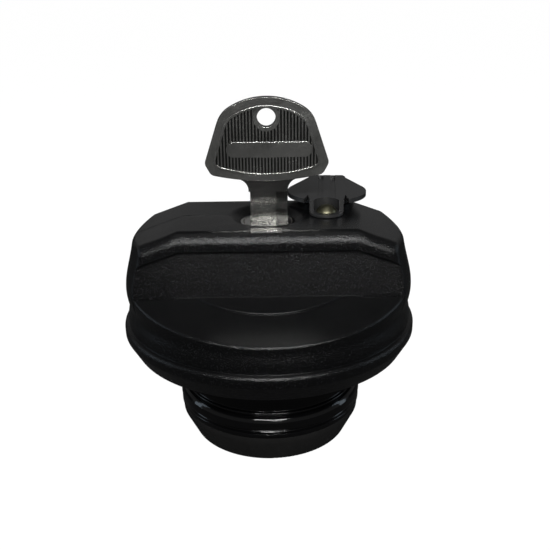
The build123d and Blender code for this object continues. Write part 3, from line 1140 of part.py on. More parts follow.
def main():
    os.makedirs("parts", exist_ok=True)
    export(make_cap_shell(), "cap_shell")
    export(make_lock_housing(), "lock_housing")
    export(make_lock_rotor(), "lock_rotor")
    for number, z in enumerate(wafer_heights(), start=1):
        export(make_wafer(z), f"wafer_{number}")
        export(make_wafer_spring(z), f"wafer_spring_{number}")
    export(make_rotor_clip(), "rotor_clip")
    export(make_drive_cam(), "drive_cam")
    export(make_cam_screw(), "cam_screw")
    export(make_housing_screws(), "housing_screws")
    export(make_key(), "key")
    export(make_dust_cover(), "dust_cover")
    export(make_cover_rivet(), "cover_rivet")
    export(make_locking_bolt(), "locking_bolt")
    export(make_bolt_guide(), "bolt_guide")
    export(make_guide_screws(), "guide_screws")
    export(make_coupling_ring(), "coupling_ring")
    export(make_retaining_ring(), "retaining_ring")
    export(make_inner_closure(), "inner_closure")
    export(make_neck_gasket(), "neck_gasket")
    export(make_seal_ring(), "seal_ring")
    export(make_bottom_cup(), "bottom_cup")
    export(make_pressure_valve(), "pressure_valve")
    export(make_pressure_pad(), "pressure_pad")
    export(make_pressure_spring(), "pressure_spring")
    export(make_vacuum_valve(), "vacuum_valve")
    export(make_vacuum_spring(), "vacuum_spring")
    export(make_valve_cage(), "valve_cage")
    export(make_valve_screws(), "valve_screws")


main()
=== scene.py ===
"""Locking fuel filler cap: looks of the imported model, laid out as a Blender add-on.

Lengths are in metres and angles in degrees unless a comment says otherwise.
"""

import json
import math

import bmesh
import bpy
from mathutils import Matrix, Vector

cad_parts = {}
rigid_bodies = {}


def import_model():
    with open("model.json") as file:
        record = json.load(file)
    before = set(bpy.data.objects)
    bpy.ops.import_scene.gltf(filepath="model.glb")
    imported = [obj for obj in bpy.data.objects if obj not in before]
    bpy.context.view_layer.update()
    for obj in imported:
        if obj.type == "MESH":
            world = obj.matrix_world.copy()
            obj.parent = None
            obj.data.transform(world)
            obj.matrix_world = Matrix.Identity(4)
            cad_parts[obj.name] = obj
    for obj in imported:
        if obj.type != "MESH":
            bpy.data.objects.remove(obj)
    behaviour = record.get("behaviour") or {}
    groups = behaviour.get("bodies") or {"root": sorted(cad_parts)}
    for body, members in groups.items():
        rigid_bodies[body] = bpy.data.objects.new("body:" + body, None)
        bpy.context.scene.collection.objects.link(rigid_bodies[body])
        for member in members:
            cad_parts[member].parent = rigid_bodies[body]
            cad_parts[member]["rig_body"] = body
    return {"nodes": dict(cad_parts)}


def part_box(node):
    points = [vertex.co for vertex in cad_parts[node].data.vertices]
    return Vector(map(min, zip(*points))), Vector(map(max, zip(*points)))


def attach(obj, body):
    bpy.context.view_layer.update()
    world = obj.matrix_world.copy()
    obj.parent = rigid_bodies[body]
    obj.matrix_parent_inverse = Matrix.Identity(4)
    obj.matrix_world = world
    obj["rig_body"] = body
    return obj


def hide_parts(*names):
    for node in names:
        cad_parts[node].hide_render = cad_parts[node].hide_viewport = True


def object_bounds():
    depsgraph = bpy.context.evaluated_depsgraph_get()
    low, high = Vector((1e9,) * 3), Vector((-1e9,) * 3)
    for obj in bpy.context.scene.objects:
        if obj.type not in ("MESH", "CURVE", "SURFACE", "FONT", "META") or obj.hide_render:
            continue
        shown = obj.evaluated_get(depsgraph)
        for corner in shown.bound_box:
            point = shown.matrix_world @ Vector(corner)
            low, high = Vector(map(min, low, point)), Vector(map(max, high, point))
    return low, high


bl_info = {
    "name": "Fuel filler cap",
    "version": (1, 0, 0),
    "blender": (4, 5, 0),
    "location": "View3D > Sidebar > Filler cap",
    "description": "Dresses a locking fuel filler cap with its key and dust cover",
    "category": "Object",
}

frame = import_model()
NODES = frame["nodes"]
CAD_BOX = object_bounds()
SHELL_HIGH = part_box("cap_shell")[1]
MM = 0.001


# ------------------------------------------------------------------ settings
def colour_setting(name, description, default):
    """A base colour among the settings."""
    return bpy.props.FloatVectorProperty(
        name=name, description=description, subtype="COLOR", size=3, min=0, max=1,
        default=default)


def length_setting(name, description, low, high, default):
    """A length among the settings."""
    return bpy.props.FloatProperty(
        name=name, description=description, subtype="DISTANCE", unit="LENGTH",
        min=low, max=high, default=default)


class FillerCapColours(bpy.types.PropertyGroup):
    """Base colours of the finishes."""

    plastic: colour_setting(
        "Shell plastic", "Black plastic of the shell", (0.0026, 0.0027, 0.0029))
    cover: colour_setting(
        "Cover plastic", "Dark grey plastic of the dust cover", (0.024, 0.024, 0.0245))
    closure: colour_setting(
        "Plug plastic", "Black plastic of the inner closure", (0.0020, 0.0020, 0.0022))
    cup: colour_setting(
        "Cup plastic", "Dark grey plastic of the bottom cup", (0.0130, 0.0128, 0.0126))
    rubber: colour_setting(
        "Rubber", "Black rubber of the seals", (0.0018, 0.0018, 0.0020))
    key_metal: colour_setting(
        "Key metal", "Nickel plating of the key", (0.58, 0.58, 0.555))
    chrome: colour_setting(
        "Lock chrome", "Bright plating of the lock", (0.78, 0.77, 0.74))
    rivet: colour_setting(
        "Rivet", "Olive-toned passivated rivet", (0.22, 0.21, 0.14))
    brass: colour_setting(
        "Wafer brass", "Stamped brass of the wafers", (0.62, 0.45, 0.20))
    steel: colour_setting(
        "Steel", "Springs, clips and screws", (0.52, 0.52, 0.51))
    zinc: colour_setting(
        "Zinc", "Die-cast bolt, cam and coupling ring", (0.36, 0.37, 0.38))
    acetal: colour_setting(
        "Acetal", "Natural plastic of the valves and the bolt guide",
        (0.62, 0.60, 0.53))


class FillerCapSizes(bpy.types.PropertyGroup):
    """Sizes of the fine surface detail and of the rounded edges."""

    grain: length_setting(
        "Grain", "Size of the spark grain on the shell", 0.00005, 0.002, 0.00030)
    edge: length_setting(
        "Edge round", "Rounding of moulded edges", 0.00002, 0.001, 0.00032)
    metal_edge: length_setting(
        "Metal edge round", "Rounding of stamped and cast metal edges",
        0.00002, 0.0005, 0.00012)


def colour(name):
    """A colour of the settings with full alpha."""
    return (*getattr(bpy.context.scene.filler_colours, name), 1.0)


def scaled(tone, factor):
    """A lighter or darker version of a colour."""
    return tuple(min(1.0, factor * value) for value in tone[:3]) + (1.0,)


# ------------------------------------------------------------------ shader nodes
MIX_COLOUR_A = 6            # places of the colour sockets on the mix node
MIX_COLOUR_B = 7
MIX_COLOUR_RESULT = 2
EDGE_SAMPLES = 6            # rays that soften an edge in the shader


def link(tree, source, target):
    """Joins an output socket to an input socket."""
    tree.links.new(source, target)


def feed(tree, value, target):
    """Feeds an input socket from another socket or with a constant."""
    if isinstance(value, bpy.types.NodeSocket):
        link(tree, value, target)
    else:
        target.default_value = value


def noise(tree, vector, scale, detail, rough=0.5):
    """A noise texture whose scale comes from a socket or a number."""
    node = tree.nodes.new("ShaderNodeTexNoise")
    link(tree, vector, node.inputs["Vector"])
    feed(tree, scale, node.inputs["Scale"])
    node.inputs["Detail"].default_value = detail
    node.inputs["Roughness"].default_value = rough
    return node.outputs["Fac"]


def math_node(tree, operation, a, b=None, clamp=False):
    """A maths node; its inputs are sockets or numbers."""
    node = tree.nodes.new("ShaderNodeMath")
    node.operation = operation
    node.use_clamp = clamp
    feed(tree, a, node.inputs[0])
    if b is not None:
        feed(tree, b, node.inputs[1])
    return node.outputs[0]


def ramp(tree, value, low, high):
    """Maps a value from low..high to 0..1, clamped."""
    node = tree.nodes.new("ShaderNodeMapRange")
    link(tree, value, node.inputs["Value"])
    node.inputs["From Min"].default_value = low
    node.inputs["From Max"].default_value = high
    return node.outputs["Result"]


def mix_colour(tree, factor, a, b):
    """Mixes two colours, each a socket or a tuple."""
    node = tree.nodes.new("ShaderNodeMix")
    node.data_type = "RGBA"
    link(tree, factor, node.inputs["Factor"])
    feed(tree, a, node.inputs[MIX_COLOUR_A])
    feed(tree, b, node.inputs[MIX_COLOUR_B])
    return node.outputs[MIX_COLOUR_RESULT]


def bump(tree, shader, height, distance, edge=0.0):
    """Feeds a height into the shader's normal, over edges softened by edge."""
    node = tree.nodes.new("ShaderNodeBump")
    if edge > 0:
        soft = tree.nodes.new("ShaderNodeBevel")
        soft.samples = EDGE_SAMPLES
        soft.inputs["Radius"].default_value = edge
        link(tree, soft.outputs["Normal"], node.inputs["Normal"])
    node.inputs["Distance"].default_value = distance
    node.inputs["Strength"].default_value = 1.0
    link(tree, height, node.inputs["Height"])
    link(tree, node.outputs["Normal"], shader.inputs["Normal"])


def facing_up(tree, low, high):
    """Mask of the surfaces that face up, from low to high on the normal's Z."""
    geometry = tree.nodes.new("ShaderNodeTexCoord")
    split = tree.nodes.new("ShaderNodeSeparateXYZ")
    link(tree, geometry.outputs["Normal"], split.inputs[0])
    return ramp(tree, split.outputs["Z"], low, high)


# ------------------------------------------------------------------ shader groups
GRAIN_DETAIL = 2.0
GRAIN_ROUGH = 0.6
COARSE_SCALE = 0.31         # the coarse layer of the grain, against the fine one
COARSE_SHARE = 0.6
GLINT_FROM, GLINT_TO = 0.58, 0.66       # heights of the grain at which the crests get painted glints

WIDE_DETAIL = 4.0           # wide and tight layers of the handling marks
WIDE_ROUGH = 0.6
WIDE_SHARE = 0.65
TIGHT_DETAIL = 3.0
TIGHT_SCALE = 7.0
TIGHT_SHARE = 0.35
MARK_FROM, MARK_TO = 0.35, 0.65
NOISE_MIDDLE = 0.5
NOISE_SPAN = 2.0            # brings the noise, about 0.25 to 0.75, to a span of 1

LINE_DETAIL = 2.0

GROUPS = {}


def new_group(name, inputs, outputs):
    """An empty shader node group with named inputs and outputs."""
    group = bpy.data.node_groups.new(name, "ShaderNodeTree")
    for label, kind, value in inputs:
        socket = group.interface.new_socket(label, in_out="INPUT", socket_type=kind)
        if value is not None:
            socket.default_value = value
    for label, kind in outputs:
        group.interface.new_socket(label, in_out="OUTPUT", socket_type=kind)
    source = group.nodes.new("NodeGroupInput")
    target = group.nodes.new("NodeGroupOutput")
    return group, source.outputs, target.inputs


def grain_group():
    """Spark-eroded grain: fine uneven bumps whose size is an input, and a mask of the
    crests for painted glints.
    """
    group, given, result = new_group(
        "spark_grain",
        [("Vector", "NodeSocketVector", None), ("Cell", "NodeSocketFloat", 0.0003)],
        [("Height", "NodeSocketFloat"), ("Glint", "NodeSocketFloat")])
    scale = math_node(group, "DIVIDE", 1.0, given["Cell"])
    fine = noise(group, given["Vector"], scale, GRAIN_DETAIL, GRAIN_ROUGH)
    coarse_scale = math_node(group, "MULTIPLY", scale, COARSE_SCALE)
    coarse = noise(group, given["Vector"], coarse_scale, GRAIN_DETAIL)
    coarse = math_node(group, "MULTIPLY", coarse, COARSE_SHARE)
    link(group, math_node(group, "ADD", fine, coarse), result["Height"])
    # mask of the crests that get painted glints
    link(group, ramp(group, fine, GLINT_FROM, GLINT_TO), result["Glint"])
    return group


def handling_group():
    """Faint smudges and dust that vary a finish at two scales."""
    group, given, result = new_group(
        "handling",
        [("Vector", "NodeSocketVector", None), ("Scale", "NodeSocketFloat", 60.0),
         ("Base", "NodeSocketFloat", 0.5), ("Spread", "NodeSocketFloat", 0.1)],
        [("Roughness", "NodeSocketFloat"), ("Mask", "NodeSocketFloat")])
    wide = noise(group, given["Vector"], given["Scale"], WIDE_DETAIL, WIDE_ROUGH)
    tight_scale = math_node(group, "MULTIPLY", given["Scale"], TIGHT_SCALE)
    tight = noise(group, given["Vector"], tight_scale, TIGHT_DETAIL)
    both = math_node(group, "ADD", math_node(group, "MULTIPLY", wide, WIDE_SHARE),
                     math_node(group, "MULTIPLY", tight, TIGHT_SHARE))
    centred = math_node(group, "SUBTRACT", both, NOISE_MIDDLE)
    spread = math_node(group, "MULTIPLY", centred, given["Spread"])
    spread = math_node(group, "MULTIPLY", spread, NOISE_SPAN)
    rough = math_node(group, "ADD", spread, given["Base"], clamp=True)
    link(group, rough, result["Roughness"])
    link(group, ramp(group, both, MARK_FROM, MARK_TO), result["Mask"])
    return group


def drawn_lines_group():
    """Fine drawn lines along one axis, for plated and machined metal."""
    group, given, result = new_group(
        "drawn_lines",
        [("Vector", "NodeSocketVector", None), ("Scale", "NodeSocketFloat", 4000.0),
         ("Stretch", "NodeSocketFloat", 0.05)],
        [("Height", "NodeSocketFloat")])
    split = group.nodes.new("ShaderNodeSeparateXYZ")
    link(group, given["Vector"], split.inputs[0])
    join = group.nodes.new("ShaderNodeCombineXYZ")
    link(group, split.outputs["X"], join.inputs["X"])
    link(group, split.outputs["Y"], join.inputs["Y"])
    along = math_node(group, "MULTIPLY", split.outputs["Z"], given["Stretch"])
    link(group, along, join.inputs["Z"])
    lines = noise(group, join.outputs[0], given["Scale"], LINE_DETAIL)
    link(group, lines, result["Height"])
    return group


def place_group(tree, name, **values):
    """Puts a shared group in a material, fed with object coordinates."""
    node = tree.nodes.new("ShaderNodeGroup")
    node.node_tree = GROUPS[name]
    coordinates = tree.nodes.get("coordinates")
    if coordinates is None:
        coordinates = tree.nodes.new("ShaderNodeTexCoord")
        coordinates.name = "coordinates"
    link(tree, coordinates.outputs["Object"], node.inputs["Vector"])
    for label, value in values.items():
        node.inputs[label].default_value = value
    return node


# ------------------------------------------------------------------ materials
SHELL_SPECULAR = 0.38
SHELL_ROUGH = 0.19
SHELL_SPREAD = 0.05
SHELL_MARKS = 70.0          # scale of the handling marks
SHELL_GRAIN_DEPTH = 0.00012
TOP_FROM, TOP_TO = 0.80, 0.97           # Z of the normal on a face that is the top
TOP_CALM = 0.72             # share of the grain that the top lacks
# painted light: faces that face up are painted this much lighter, where light from above
# falls
TOP_PAINTED_LIGHT = 1.5
PAINTED_GLINT_TINT = 6.0            # painted glints: the crests of the grain are painted this much lighter

PLASTIC_MARKS = 90.0
PLASTIC_WORN = 1.35

METAL_MARKS = 220.0
KEY_ROUGH = 0.24
KEY_SPREAD = 0.12
KEY_GRAIN = 0.00022
KEY_GRAIN_DEPTH = 0.000010
KEY_EDGE = 0.00012
KEY_WORN = 0.8
# the sunk field of the key is darkened to this share of its colour, deeper is darker
SUNK_FIELD_TINT = 0.14
SUNK_FULL_DEPTH = 0.00050        # the darkening is full at this depth below the face
SUNK_START_DEPTH = 0.00030     # and there is none above this one

PLASTICS = {
    "cover": dict(name="cover_plastic", tone="cover", rough=0.36, spread=0.08,
                  grain_cell=0.0004, grain_depth=0.00003, specular=0.6),
    "closure": dict(name="closure_plastic", tone="closure", rough=0.16, spread=0.08,
                    grain_cell=0.0008, grain_depth=0.00002, specular=0.4),
    "cup": dict(name="cup_plastic", tone="cup", rough=0.48, spread=0.10,
                grain_cell=0.0005, grain_depth=0.00003, specular=0.3),
    "rubber": dict(name="seal_rubber", tone="rubber", rough=0.10, spread=0.06,
                   grain_cell=0.0012, grain_depth=0.00003, specular=0.5),
    "acetal": dict(name="acetal", tone="acetal", rough=0.42, spread=0.08,
                   grain_cell=0.0006, grain_depth=0.00002, specular=0.4),
}
METALS = {
    "chrome": dict(name="lock_chrome", tone="chrome", rough=0.12, spread=0.08,
                   depth=0.000002, scale=2500.0, stretch=0.3, worn=0.85),
    "rivet": dict(name="rivet_brass", tone="rivet", rough=0.40, spread=0.14,
                  depth=0.000006, scale=2500.0, stretch=0.6, worn=0.72),
    "brass": dict(name="wafer_brass", tone="brass", rough=0.28, spread=0.10,
                  depth=0.000006, scale=4000.0, stretch=0.05, worn=0.72),
    "steel": dict(name="bright_steel", tone="steel", rough=0.25, spread=0.10,
                  depth=0.000004, scale=5000.0, stretch=0.4, worn=0.72),
    "zinc": dict(name="cast_zinc", tone="zinc", rough=0.48, spread=0.10,
                 depth=0.00002, scale=1500.0, stretch=1.0, worn=0.72),
}
MATERIALS = {}


def new_material(name, base, metallic=0.0, specular=0.5):
    """A material with a Principled shader and its plain values set."""
    material = bpy.data.materials.new(name)
    material.use_nodes = True
    shader = material.node_tree.nodes["Principled BSDF"]
    shader.inputs["Base Color"].default_value = base
    shader.inputs["Metallic"].default_value = metallic
    shader.inputs["Specular IOR Level"].default_value = specular
    return material, material.node_tree, shader


def handling_marks(tree, shader, scale, rough, spread):
    """Varies the roughness with handling marks and returns the mask of the marks."""
    marks = place_group(tree, "handling", Scale=scale, Base=rough, Spread=spread)
    link(tree, marks.outputs["Roughness"], shader.inputs["Roughness"])
    return marks.outputs["Mask"]


def shell_plastic():
    """Black plastic: spark grain on the sides and smoother on top, with up-facing faces
    painted lighter as painted light from above, and painted glints on the grain's crests.
    """
    sizes = bpy.context.scene.filler_sizes
    base = colour("plastic")
    material, tree, shader = new_material("shell_plastic", base, specular=SHELL_SPECULAR)
    grain = place_group(tree, "grain", Cell=sizes.grain)
    handling_marks(tree, shader, SHELL_MARKS, SHELL_ROUGH, SHELL_SPREAD)
    top = facing_up(tree, TOP_FROM, TOP_TO)
    calm = math_node(tree, "MULTIPLY", top, TOP_CALM)
    grained = math_node(tree, "SUBTRACT", 1.0, calm)
    height = math_node(tree, "MULTIPLY", grain.outputs["Height"], grained)
    bump(tree, shader, height, SHELL_GRAIN_DEPTH, sizes.edge)
    # painted light: the up-facing faces are painted lighter
    tint = mix_colour(tree, top, base, scaled(base, TOP_PAINTED_LIGHT))
    # painted glints: the crests of the grain are painted lighter, except on the top
    glint = math_node(tree, "MULTIPLY", grain.outputs["Glint"], grained)
    tint = mix_colour(tree, glint, tint, scaled(base, PAINTED_GLINT_TINT))
    link(tree, tint, shader.inputs["Base Color"])
    return material


def smooth_plastic(name, tone, rough, spread, grain_cell, grain_depth, specular):
    """Plain moulded plastic or rubber with a faint texture and handling marks."""
    base = colour(tone)
    material, tree, shader = new_material(name, base, specular=specular)
    grain = place_group(tree, "grain", Cell=grain_cell)
    mask = handling_marks(tree, shader, PLASTIC_MARKS, rough, spread)
    bump(tree, shader, grain.outputs["Height"], grain_depth)
    tint = mix_colour(tree, mask, base, scaled(base, PLASTIC_WORN))
    link(tree, tint, shader.inputs["Base Color"])
    return material


def key_metal():
    """Worn nickel plating: fine pits, and darker between the ribs of the sunk field."""
    base = colour("key_metal")
    material, tree, shader = new_material("key_nickel", base, metallic=1.0)
    grain = place_group(tree, "grain", Cell=KEY_GRAIN)
    mask = handling_marks(tree, shader, METAL_MARKS, KEY_ROUGH, KEY_SPREAD)
    bump(tree, shader, grain.outputs["Height"], KEY_GRAIN_DEPTH, KEY_EDGE)
    split = tree.nodes.new("ShaderNodeSeparateXYZ")
    link(tree, tree.nodes["coordinates"].outputs["Object"], split.inputs[0])
    depth = math_node(tree, "ABSOLUTE", split.outputs["Y"])
    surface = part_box("key")[1][1]
    # darker in the sunk field, by depth below the key's face
    sunk = ramp(tree, depth, surface - SUNK_START_DEPTH, surface - SUNK_FULL_DEPTH)
    worn = mix_colour(tree, mask, scaled(base, KEY_WORN), base)
    sunk_darkened = mix_colour(tree, sunk, worn, scaled(base, SUNK_FIELD_TINT))
    link(tree, sunk_darkened, shader.inputs["Base Color"])
    return material


def metal(name, tone, rough, spread, depth, scale, stretch, worn):
    """Plated or drawn metal with fine lines and uneven roughness."""
    base = colour(tone)
    material, tree, shader = new_material(name, base, metallic=1.0)
    lines = place_group(tree, "lines", Scale=scale, Stretch=stretch)
    mask = handling_marks(tree, shader, METAL_MARKS, rough, spread)
    bump(tree, shader, lines.outputs["Height"], depth)
    tint = mix_colour(tree, mask, scaled(base, worn), base)
    link(tree, tint, shader.inputs["Base Color"])
    return material


def build_materials():
    """Makes the shared shader groups and every finish."""
    GROUPS["grain"] = grain_group()
    GROUPS["handling"] = handling_group()
    GROUPS["lines"] = drawn_lines_group()
    MATERIALS["shell"] = shell_plastic()
    MATERIALS["key"] = key_metal()
    for label, finish in PLASTICS.items():
        MATERIALS[label] = smooth_plastic(**finish)
    for label, finish in METALS.items():
        MATERIALS[label] = metal(**finish)


# ------------------------------------------------------------------ modelling helpers
MERGE_DISTANCE = 2e-6
LEVEL_ANGLE = 0.5           # faces within this angle of each other are joined
SMOOTH_ANGLE = 35.0         # edges sharper than this stay sharp
AREA_WEIGHT = 100           # 50 is neutral, more favours the broad faces
BEVEL_SEGMENTS = 2


def only(obj):
    """Selects one object and makes it active."""
    bpy.ops.object.select_all(action="DESELECT")
    obj.select_set(True)
    bpy.context.view_layer.objects.active = obj


def paint(obj, material):
    """Gives an object one of the finishes."""
    obj.data.materials.clear()
    obj.data.materials.append(MATERIALS[material])


def copy_node(node, name, flatten):
    """A copy of a CAD node, its loose triangles merged; flatten joins level ones."""
    only(NODES[node])
    bpy.ops.object.duplicate()
    piece = bpy.context.view_layer.objects.active
    piece.name = name
    piece.data.name = name
    for key in [k for k in piece.keys() if k.startswith("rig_")]:
        del piece[key]
    piece.parent = None
    piece.matrix_world = Matrix.Identity(4)
    bpy.ops.object.mode_set(mode="EDIT")
    bpy.ops.mesh.select_all(action="SELECT")
    bpy.ops.mesh.remove_doubles(threshold=MERGE_DISTANCE)
    bpy.ops.mesh.customdata_custom_splitnormals_clear()
    if flatten:
        bpy.ops.mesh.dissolve_limited(angle_limit=math.radians(LEVEL_ANGLE))
    bpy.ops.object.mode_set(mode="OBJECT")
    return piece


def smooth_faces(piece, angle):
    """Smooths the soft edges and keeps the broad faces flat."""
    only(piece)
    bpy.ops.object.shade_smooth_by_angle(angle=math.radians(angle))
    flat = piece.modifiers.new("flat_faces", "WEIGHTED_NORMAL")
    flat.keep_sharp = True
    flat.weight = AREA_WEIGHT
    bpy.ops.object.modifier_apply(modifier=flat.name)


def round_edges(piece, width, angle):
    """Rounds the edges that are sharper than the angle."""
    only(piece)
    bevel = piece.modifiers.new("edge_round", "BEVEL")
    bevel.width = width
    bevel.segments = BEVEL_SEGMENTS
    bevel.limit_method = "ANGLE"
    bevel.angle_limit = math.radians(angle)
    bevel.use_clamp_overlap = True
    bevel.harden_normals = False
    bpy.ops.object.modifier_apply(modifier=bevel.name)


def dress(node, name, material, width=0.0, angle=SMOOTH_ANGLE, form=None):
    """Replaces a CAD node by a finished copy, with rounded edges if width is set."""
    piece = copy_node(node, name, width > 0)
    if form:
        form(piece)
    if width > 0:
        round_edges(piece, width, angle)
    smooth_faces(piece, angle)
    paint(piece, material)
    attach(piece, NODES[node]["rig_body"])
    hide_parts(node)


# ------------------------------------------------------------------ rim of the shell
# Heights and radii of the outer face, all in millimetres.
WALL_TOP_Z = 38.2           # the wall is left alone above this height
WALL_FOOT_RADIUS = 36.85    # the wall meets the rim with this radius
BEAD_TOP_Z = 33.0           # and at this height
BEAD_ROUND = 1.2            # rounding of the rim's upper edge
BAND_LOW_Z = 30.3           # lower edge of the widest band
EDGE_Z = 26.0               # lower edge of the shell
EDGE_RADIUS = 35.6
EDGE_MARGIN = 0.05          # the lower edge itself stays as it is
OUTER_LIMIT = 35.58         # the inner faces have smaller radii than this
BEAD_STEP = 12              # degrees between the rings of the rounding
WALL_RING_RISE = 0.8        # one more ring on the wall, above the rim
TAPER_RING_DROPS = (0.0, 0.6, 1.4, 2.4)  # rings on the taper, below the band's edge
CUT_TOLERANCE = 1e-6        # metres


def rim_radius(height, radius):
    """Radius of the outer face at a height, from the radius that it has."""
    rim = SHELL_HIGH[0] / MM
    if height >= BEAD_TOP_Z:
        share = (height - BEAD_TOP_Z) / (WALL_TOP_Z - BEAD_TOP_Z)
        return WALL_FOOT_RADIUS + (radius - WALL_FOOT_RADIUS) * min(1.0, share) ** 2
    if height >= BEAD_TOP_Z - BEAD_ROUND:
        up = height - (BEAD_TOP_Z - BEAD_ROUND)
        return rim - BEAD_ROUND + math.sqrt(BEAD_ROUND ** 2 - up ** 2)
    if height >= BAND_LOW_Z:
        return rim
    share = (height - EDGE_Z) / (BAND_LOW_Z - EDGE_Z)
    return EDGE_RADIUS + (rim - EDGE_RADIUS) * max(0.0, share)


def rim_rings():
    """Heights at which the rim is cut, so that it can be turned to its outline."""
    drops = [BEAD_ROUND * (1 - math.sin(math.radians(angle)))
             for angle in range(0, 90, BEAD_STEP)]
    return ([BEAD_TOP_Z - drop for drop in drops]
            + [BEAD_TOP_Z, BEAD_TOP_Z + WALL_RING_RISE]
            + [BAND_LOW_Z - drop for drop in TAPER_RING_DROPS])


def round_rim(piece):
    """Cuts level rings into the rim and turns them to the rounded outline."""
    form = bmesh.new()
    form.from_mesh(piece.data)
    for height in rim_rings():
        every = list(form.verts) + list(form.edges) + list(form.faces)
        bmesh.ops.bisect_plane(form, geom=every, plane_co=(0, 0, height * MM),
                               plane_no=(0, 0, 1), dist=CUT_TOLERANCE)
    for vert in form.verts:
        radius = math.hypot(vert.co.x, vert.co.y) / MM
        height = vert.co.z / MM
        if EDGE_Z + EDGE_MARGIN < height < WALL_TOP_Z and radius > OUTER_LIMIT:
            turned = rim_radius(height, radius) / radius
            vert.co.x *= turned
            vert.co.y *= turned
    form.to_mesh(piece.data)
    form.free()


# ------------------------------------------------------------------ camera and stage
CAMERA_PLACE = (0.195, -182.885, 113.904)   # millimetres
CAMERA_PITCH = 21.30        # below level
CAMERA_YAW = 0.47           # towards +X
CAMERA_ROLL = -0.69
CAMERA_LENS = 48.79         # millimetres, as the sensor's width
CAMERA_SENSOR = 36.0
CAMERA_NEAR = 0.005
CAMERA_FAR = 100.0

FLOOR_WIDTH = 60.0
FLOOR_PALE = (0.9, 0.9, 0.9, 1.0)       # colour for the camera
FLOOR_DIM = (0.07, 0.07, 0.07, 1.0)     # colour for every other ray
FLOOR_ROUGH = 0.9
FLOOR_GLOW = 1.08
FLOOR_GLOW_SHARE = 0.92     # the rest of what the camera sees holds the shadow

LAMP_TARGET = (0, 0, 0.045)
WHITE_LIGHT = (1.0, 1.0, 1.0)
SKY_LIGHT = (0.72, 0.86, 1.0)
LAMPS = (
    dict(name="overhead_box", place=(0.0, 0.0, 0.80), size=(0.6, 0.4), power=0.5,
         tone=WHITE_LIGHT),
    dict(name="front_strip", place=(0.0, -0.37, 0.325), size=(0.28, 0.03), power=1.6,
         tone=WHITE_LIGHT),
    dict(name="hard_lamp", place=(0.06, -0.42, 0.20), size=(0.09, 0.012), power=0.17,
         tone=WHITE_LIGHT),
    dict(name="left_strip", place=(-0.6, 0.05, 0.15), size=(0.12, 0.5), power=0.3,
         tone=SKY_LIGHT),
    dict(name="right_strip", place=(0.6, 0.05, 0.15), size=(0.12, 0.5), power=0.3,
         tone=SKY_LIGHT),
)

WORLD_LIGHT = 0.05          # strength of the world as a light
SHINE_HIGH = 0.14           # its strength in reflections near the horizon
SHINE_LOW = 0.02            # and higher up
SHINE_FROM, SHINE_TO = 0.62, 0.40       # Z of the direction, from low to high shine


def add_camera():
    """The camera in front of the cap, a little above it."""
    place = Vector(CAMERA_PLACE) * MM
    bpy.ops.object.camera_add(location=place)
    camera = bpy.context.active_object
    camera.name = "camera"
    turn = Matrix.Rotation(math.radians(-CAMERA_YAW), 4, "Z")
    tilt = Matrix.Rotation(math.radians(90 - CAMERA_PITCH), 4, "X")
    roll = Matrix.Rotation(math.radians(CAMERA_ROLL), 4, "Z")
    camera.matrix_world = Matrix.Translation(place) @ turn @ tilt @ roll
    camera.data.lens = CAMERA_LENS
    camera.data.sensor_width = CAMERA_SENSOR
    camera.data.clip_start = CAMERA_NEAR
    camera.data.clip_end = CAMERA_FAR
    bpy.context.scene.camera = camera


def add_floor():
    """A wide floor, white to the camera with a faint shadow, and grey as a light."""
    bpy.ops.mesh.primitive_plane_add(size=FLOOR_WIDTH, location=(0, 0, CAD_BOX[0][2]))
    floor = bpy.context.active_object
    floor.name = "floor"
    only(floor)
    bpy.ops.object.transform_apply(location=True)
    material, tree, shader = new_material("floor_white", FLOOR_PALE, specular=0.0)
    shader.inputs["Roughness"].default_value = FLOOR_ROUGH
    path = tree.nodes.new("ShaderNodeLightPath")
    seen = path.outputs["Is Camera Ray"]
    link(tree, mix_colour(tree, seen, FLOOR_DIM, FLOOR_PALE), shader.inputs["Base Color"])
    glow = tree.nodes.new("ShaderNodeEmission")
    glow.inputs["Strength"].default_value = FLOOR_GLOW
    blend = tree.nodes.new("ShaderNodeMixShader")
    link(tree, math_node(tree, "MULTIPLY", seen, FLOOR_GLOW_SHARE), blend.inputs["Fac"])
    link(tree, shader.outputs[0], blend.inputs[1])
    link(tree, glow.outputs[0], blend.inputs[2])
    link(tree, blend.outputs[0], tree.nodes["Material Output"].inputs["Surface"])
    floor.data.materials.append(material)


def add_lamp(name, place, size, power, tone):
    """A rectangular lamp aimed at the middle of the cap."""
    bpy.ops.object.light_add(type="AREA", location=place)
    lamp = bpy.context.active_object
    lamp.name = name
    lamp.data.shape = "RECTANGLE"
    lamp.data.size, lamp.data.size_y = size
    lamp.data.energy = power
    lamp.data.color = tone
    direction = Vector(LAMP_TARGET) - Vector(place)
    aim = direction.to_track_quat("-Z", "Y").to_matrix().to_4x4()
    lamp.matrix_world = Matrix.Translation(place) @ aim


def add_lamps():
    """A soft box overhead, a strip and a small hard lamp in front, two side strips."""
    for lamp in LAMPS:
        add_lamp(**lamp)


